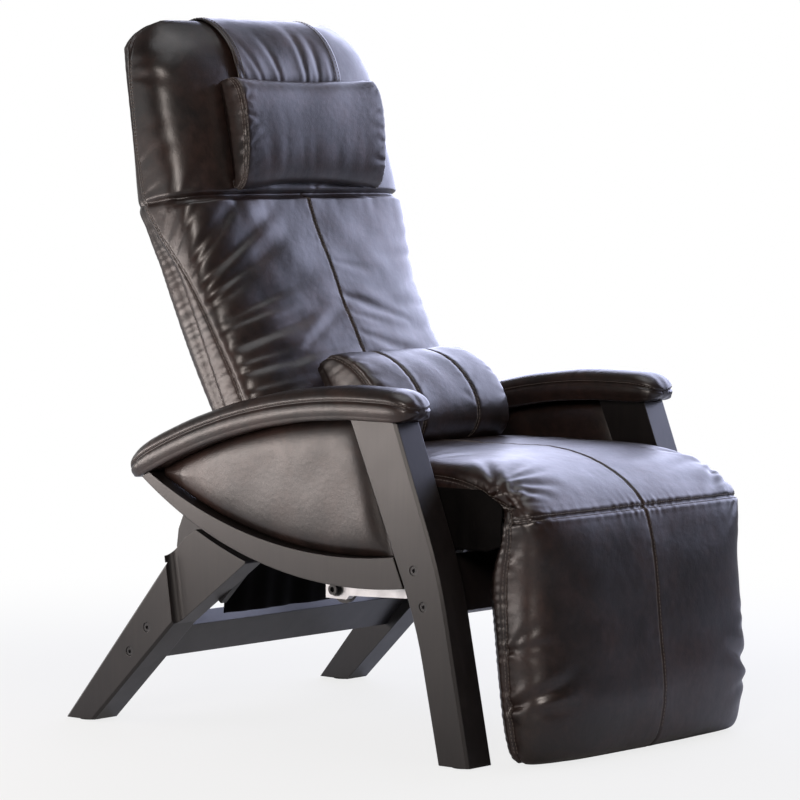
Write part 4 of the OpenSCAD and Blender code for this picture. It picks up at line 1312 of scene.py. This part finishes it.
class RECLINER_OT_shade_apron(Operator):
    """Near-black lining that hangs from the lower edge of the back and closes the gap under it; the dark sheet is
    also painted shade for that gap.
    """

    bl_idname = "recliner.apron"
    bl_label = "Back apron and painted shade"

    def execute(self, context):
        look = context.scene.recliner_look
        rng = np.random.default_rng(look.seed + 7)
        half = BACK_HALF - 14
        path = [back_at(84, -49), back_at(62, -49), back_at(40, -47)]
        y, z = path[-1]
        path += [(y + 12, z - 26), (y + 34, z - 62), (y + 48, z - 100), (y + 52, SHADE_APRON_END)]
        rows, way, mid = sheet_rows(path, half, 61, 161)
        x = rows[:, :, 0]
        run = np.broadcast_to(way[:, None], x.shape)
        free = np.clip((run - 40) / 120, 0, 1)
        wave = 3.2 * np.sin(x / 19.0 + 1.1 * np.sin(x / 47.0)) + 1.6 * np.sin(x / 8.3 + run / 60)
        rows[:, :, 1] += free * wave + ripple(x, run, rng, 6, 90, 0.5) * free
        piece = loft("back_shade_apron", rows, closed=False)
        thickened(piece, SHADE_APRON_WALL)
        # Near-black sheet: it puts painted shade into the gap under the back, where a lining hangs
        paint(piece, lining_and_shade())
        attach(piece, "back")
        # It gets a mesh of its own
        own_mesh(piece)
        return {"FINISHED"}


class RECLINER_OT_stage(Operator):
    """Pale floor, soft studio light and the camera."""

    bl_idname = "recliner.stage"
    bl_label = "Studio"

    def floor(self):
        """A plane that is white to the eye and keeps the object's shadow."""
        bm = bmesh.new()
        bmesh.ops.create_grid(bm, x_segments=1, y_segments=1, size=FLOOR_HALF)
        floor = shown("studio_floor", bm)
        f = Finish("studio_white")
        grey = (0.55, 0.55, 0.55, 1)
        mat = f.shaded(Base_Color=grey, Roughness=0.9, Specular_IOR_Level=0.0)
        far = f.add("ShaderNodeVectorMath", operation="LENGTH")
        f.link(f.place, far.inputs[0])
        away = f.eased(far.outputs["Value"], 0.8, 1.0, 0.7, 2.4)
        behind = f.eased(f.add("ShaderNodeSeparateXYZ", Vector=f.place).outputs["Y"], 0.0, 0.4, -0.8, 1.2)
        eye_ray, gloss_ray = f.seen()
        share = f.math("MAXIMUM", eye_ray, f.math("MULTIPLY", gloss_ray, behind))
        blend = f.add("ShaderNodeMixShader", Fac=f.math("MULTIPLY", share, away))
        f.link(f.shader.outputs["BSDF"], blend.inputs[1])
        f.link(f.add("ShaderNodeEmission", Strength=1.0).outputs["Emission"], blend.inputs[2])
        f.link(blend.outputs["Shader"], f.nodes["Material Output"].inputs["Surface"])
        paint(floor, mat)

    def room(self, scene):
        """White cove behind the object, a dimmer room in front of it."""
        scene.world = bpy.data.worlds.new("studio")
        scene.world.use_nodes = True
        w = Nodes(scene.world.node_tree)
        ground = w.nodes["Background"].inputs
        ground["Color"].default_value = (1, 1, 1, 1)
        way = w.add("ShaderNodeTexCoord").outputs["Generated"]
        split = w.add("ShaderNodeSeparateXYZ", Vector=way).outputs
        behind = w.eased(split["Y"], 0.0, 1.0, 0.0, 0.7)
        cove = w.math("MULTIPLY", behind, w.eased(split["Z"], 1.0, 0.12, 0.12, 0.5))
        eye_ray, gloss_ray = w.seen()
        share = w.math("MAXIMUM", eye_ray, w.math("MULTIPLY", gloss_ray, cove))
        w.link(w.math("MAXIMUM", share, 0.06), ground["Strength"])

    def lamps(self, scene):
        """Soft area lamps."""
        for name, place, aim, size, power, tint in (
            ("cool_right", (2.1, 0.3, 1.45), (0.0, 0.1, 0.7), (3.6, 1.8), 98, (0.68, 0.72, 1.0)),
            ("warm_left", (-1.2, 0.85, 0.43), (-0.3, 0.1, 0.48), (1.4, 0.22), 10.5, (1.0, 0.88, 0.83)),
            ("warm_strip", (-3.0, -2.0, 1.9), (-0.1, 0.0, 1.0), (0.8, 0.9), 64, (1.0, 0.9, 0.84)),
            ("overhead", (0.1, -0.3, 3.3), (0, 0, 0.4), (2.4, 2.0), 25, (0.95, 0.97, 1.0)),
        ):
            lamp = bpy.data.lights.new(name, "AREA")
            lamp.shape = "RECTANGLE"
            lamp.size, lamp.size_y = size
            lamp.energy = power
            lamp.color = tint
            rig = bpy.data.objects.new(name, lamp)
            rig.location = place
            rig.rotation_euler = (Vector(aim) - Vector(place)).to_track_quat("-Z", "Y").to_euler()
            rig.visible_camera = False
            scene.collection.objects.link(rig)

    def execute(self, context):
        scene = context.scene
        self.floor()
        self.room(scene)
        self.lamps(scene)
        camera = bpy.data.cameras.new("camera")
        camera.sensor_width = SENSOR
        camera.lens = FOCAL_PX / PICTURE_PX * SENSOR
        camera.clip_end = 100
        eye = bpy.data.objects.new("camera", camera)
        eye.location = EYE
        eye.rotation_euler = (math.radians(90 + EYE_UP), 0, math.radians(EYE_TURN))
        scene.collection.objects.link(eye)
        scene.camera = eye
        scene.view_settings.view_transform = "Standard"
        return {"FINISHED"}


class RECLINER_PT_panel(Panel):
    """Lists the recliner's sizes, colours and pieces."""

    bl_label = "Recliner"
    bl_idname = "RECLINER_PT_panel"
    bl_space_type = "VIEW_3D"
    bl_region_type = "UI"
    bl_category = "Recliner"

    def draw(self, context):
        look = context.scene.recliner_look
        for name in ("leather", "thread", "wood", "gloss", "fold", "seam", "pitch", "seed"):
            self.layout.prop(look, name)
        for operator in OPERATORS:
            self.layout.operator(operator.bl_idname)


OPERATORS = (
    RECLINER_OT_frame,
    RECLINER_OT_back,
    RECLINER_OT_seat,
    RECLINER_OT_pillows,
    RECLINER_OT_arms,
    RECLINER_OT_panels,
    RECLINER_OT_skirts,
    RECLINER_OT_shade_apron,
    RECLINER_OT_stage,
)
CLASSES = (ReclinerLook, *OPERATORS, RECLINER_PT_panel)


def register():
    for cls in CLASSES:
        bpy.utils.register_class(cls)
    bpy.types.Scene.recliner_look = PointerProperty(type=ReclinerLook)


def unregister():
    del bpy.types.Scene.recliner_look
    for cls in reversed(CLASSES):
        bpy.utils.unregister_class(cls)


def main():
    register()
    for operator in OPERATORS:
        family, name = operator.bl_idname.split(".")
        getattr(getattr(bpy.ops, family), name)()


if __name__ == "__main__":
    main()
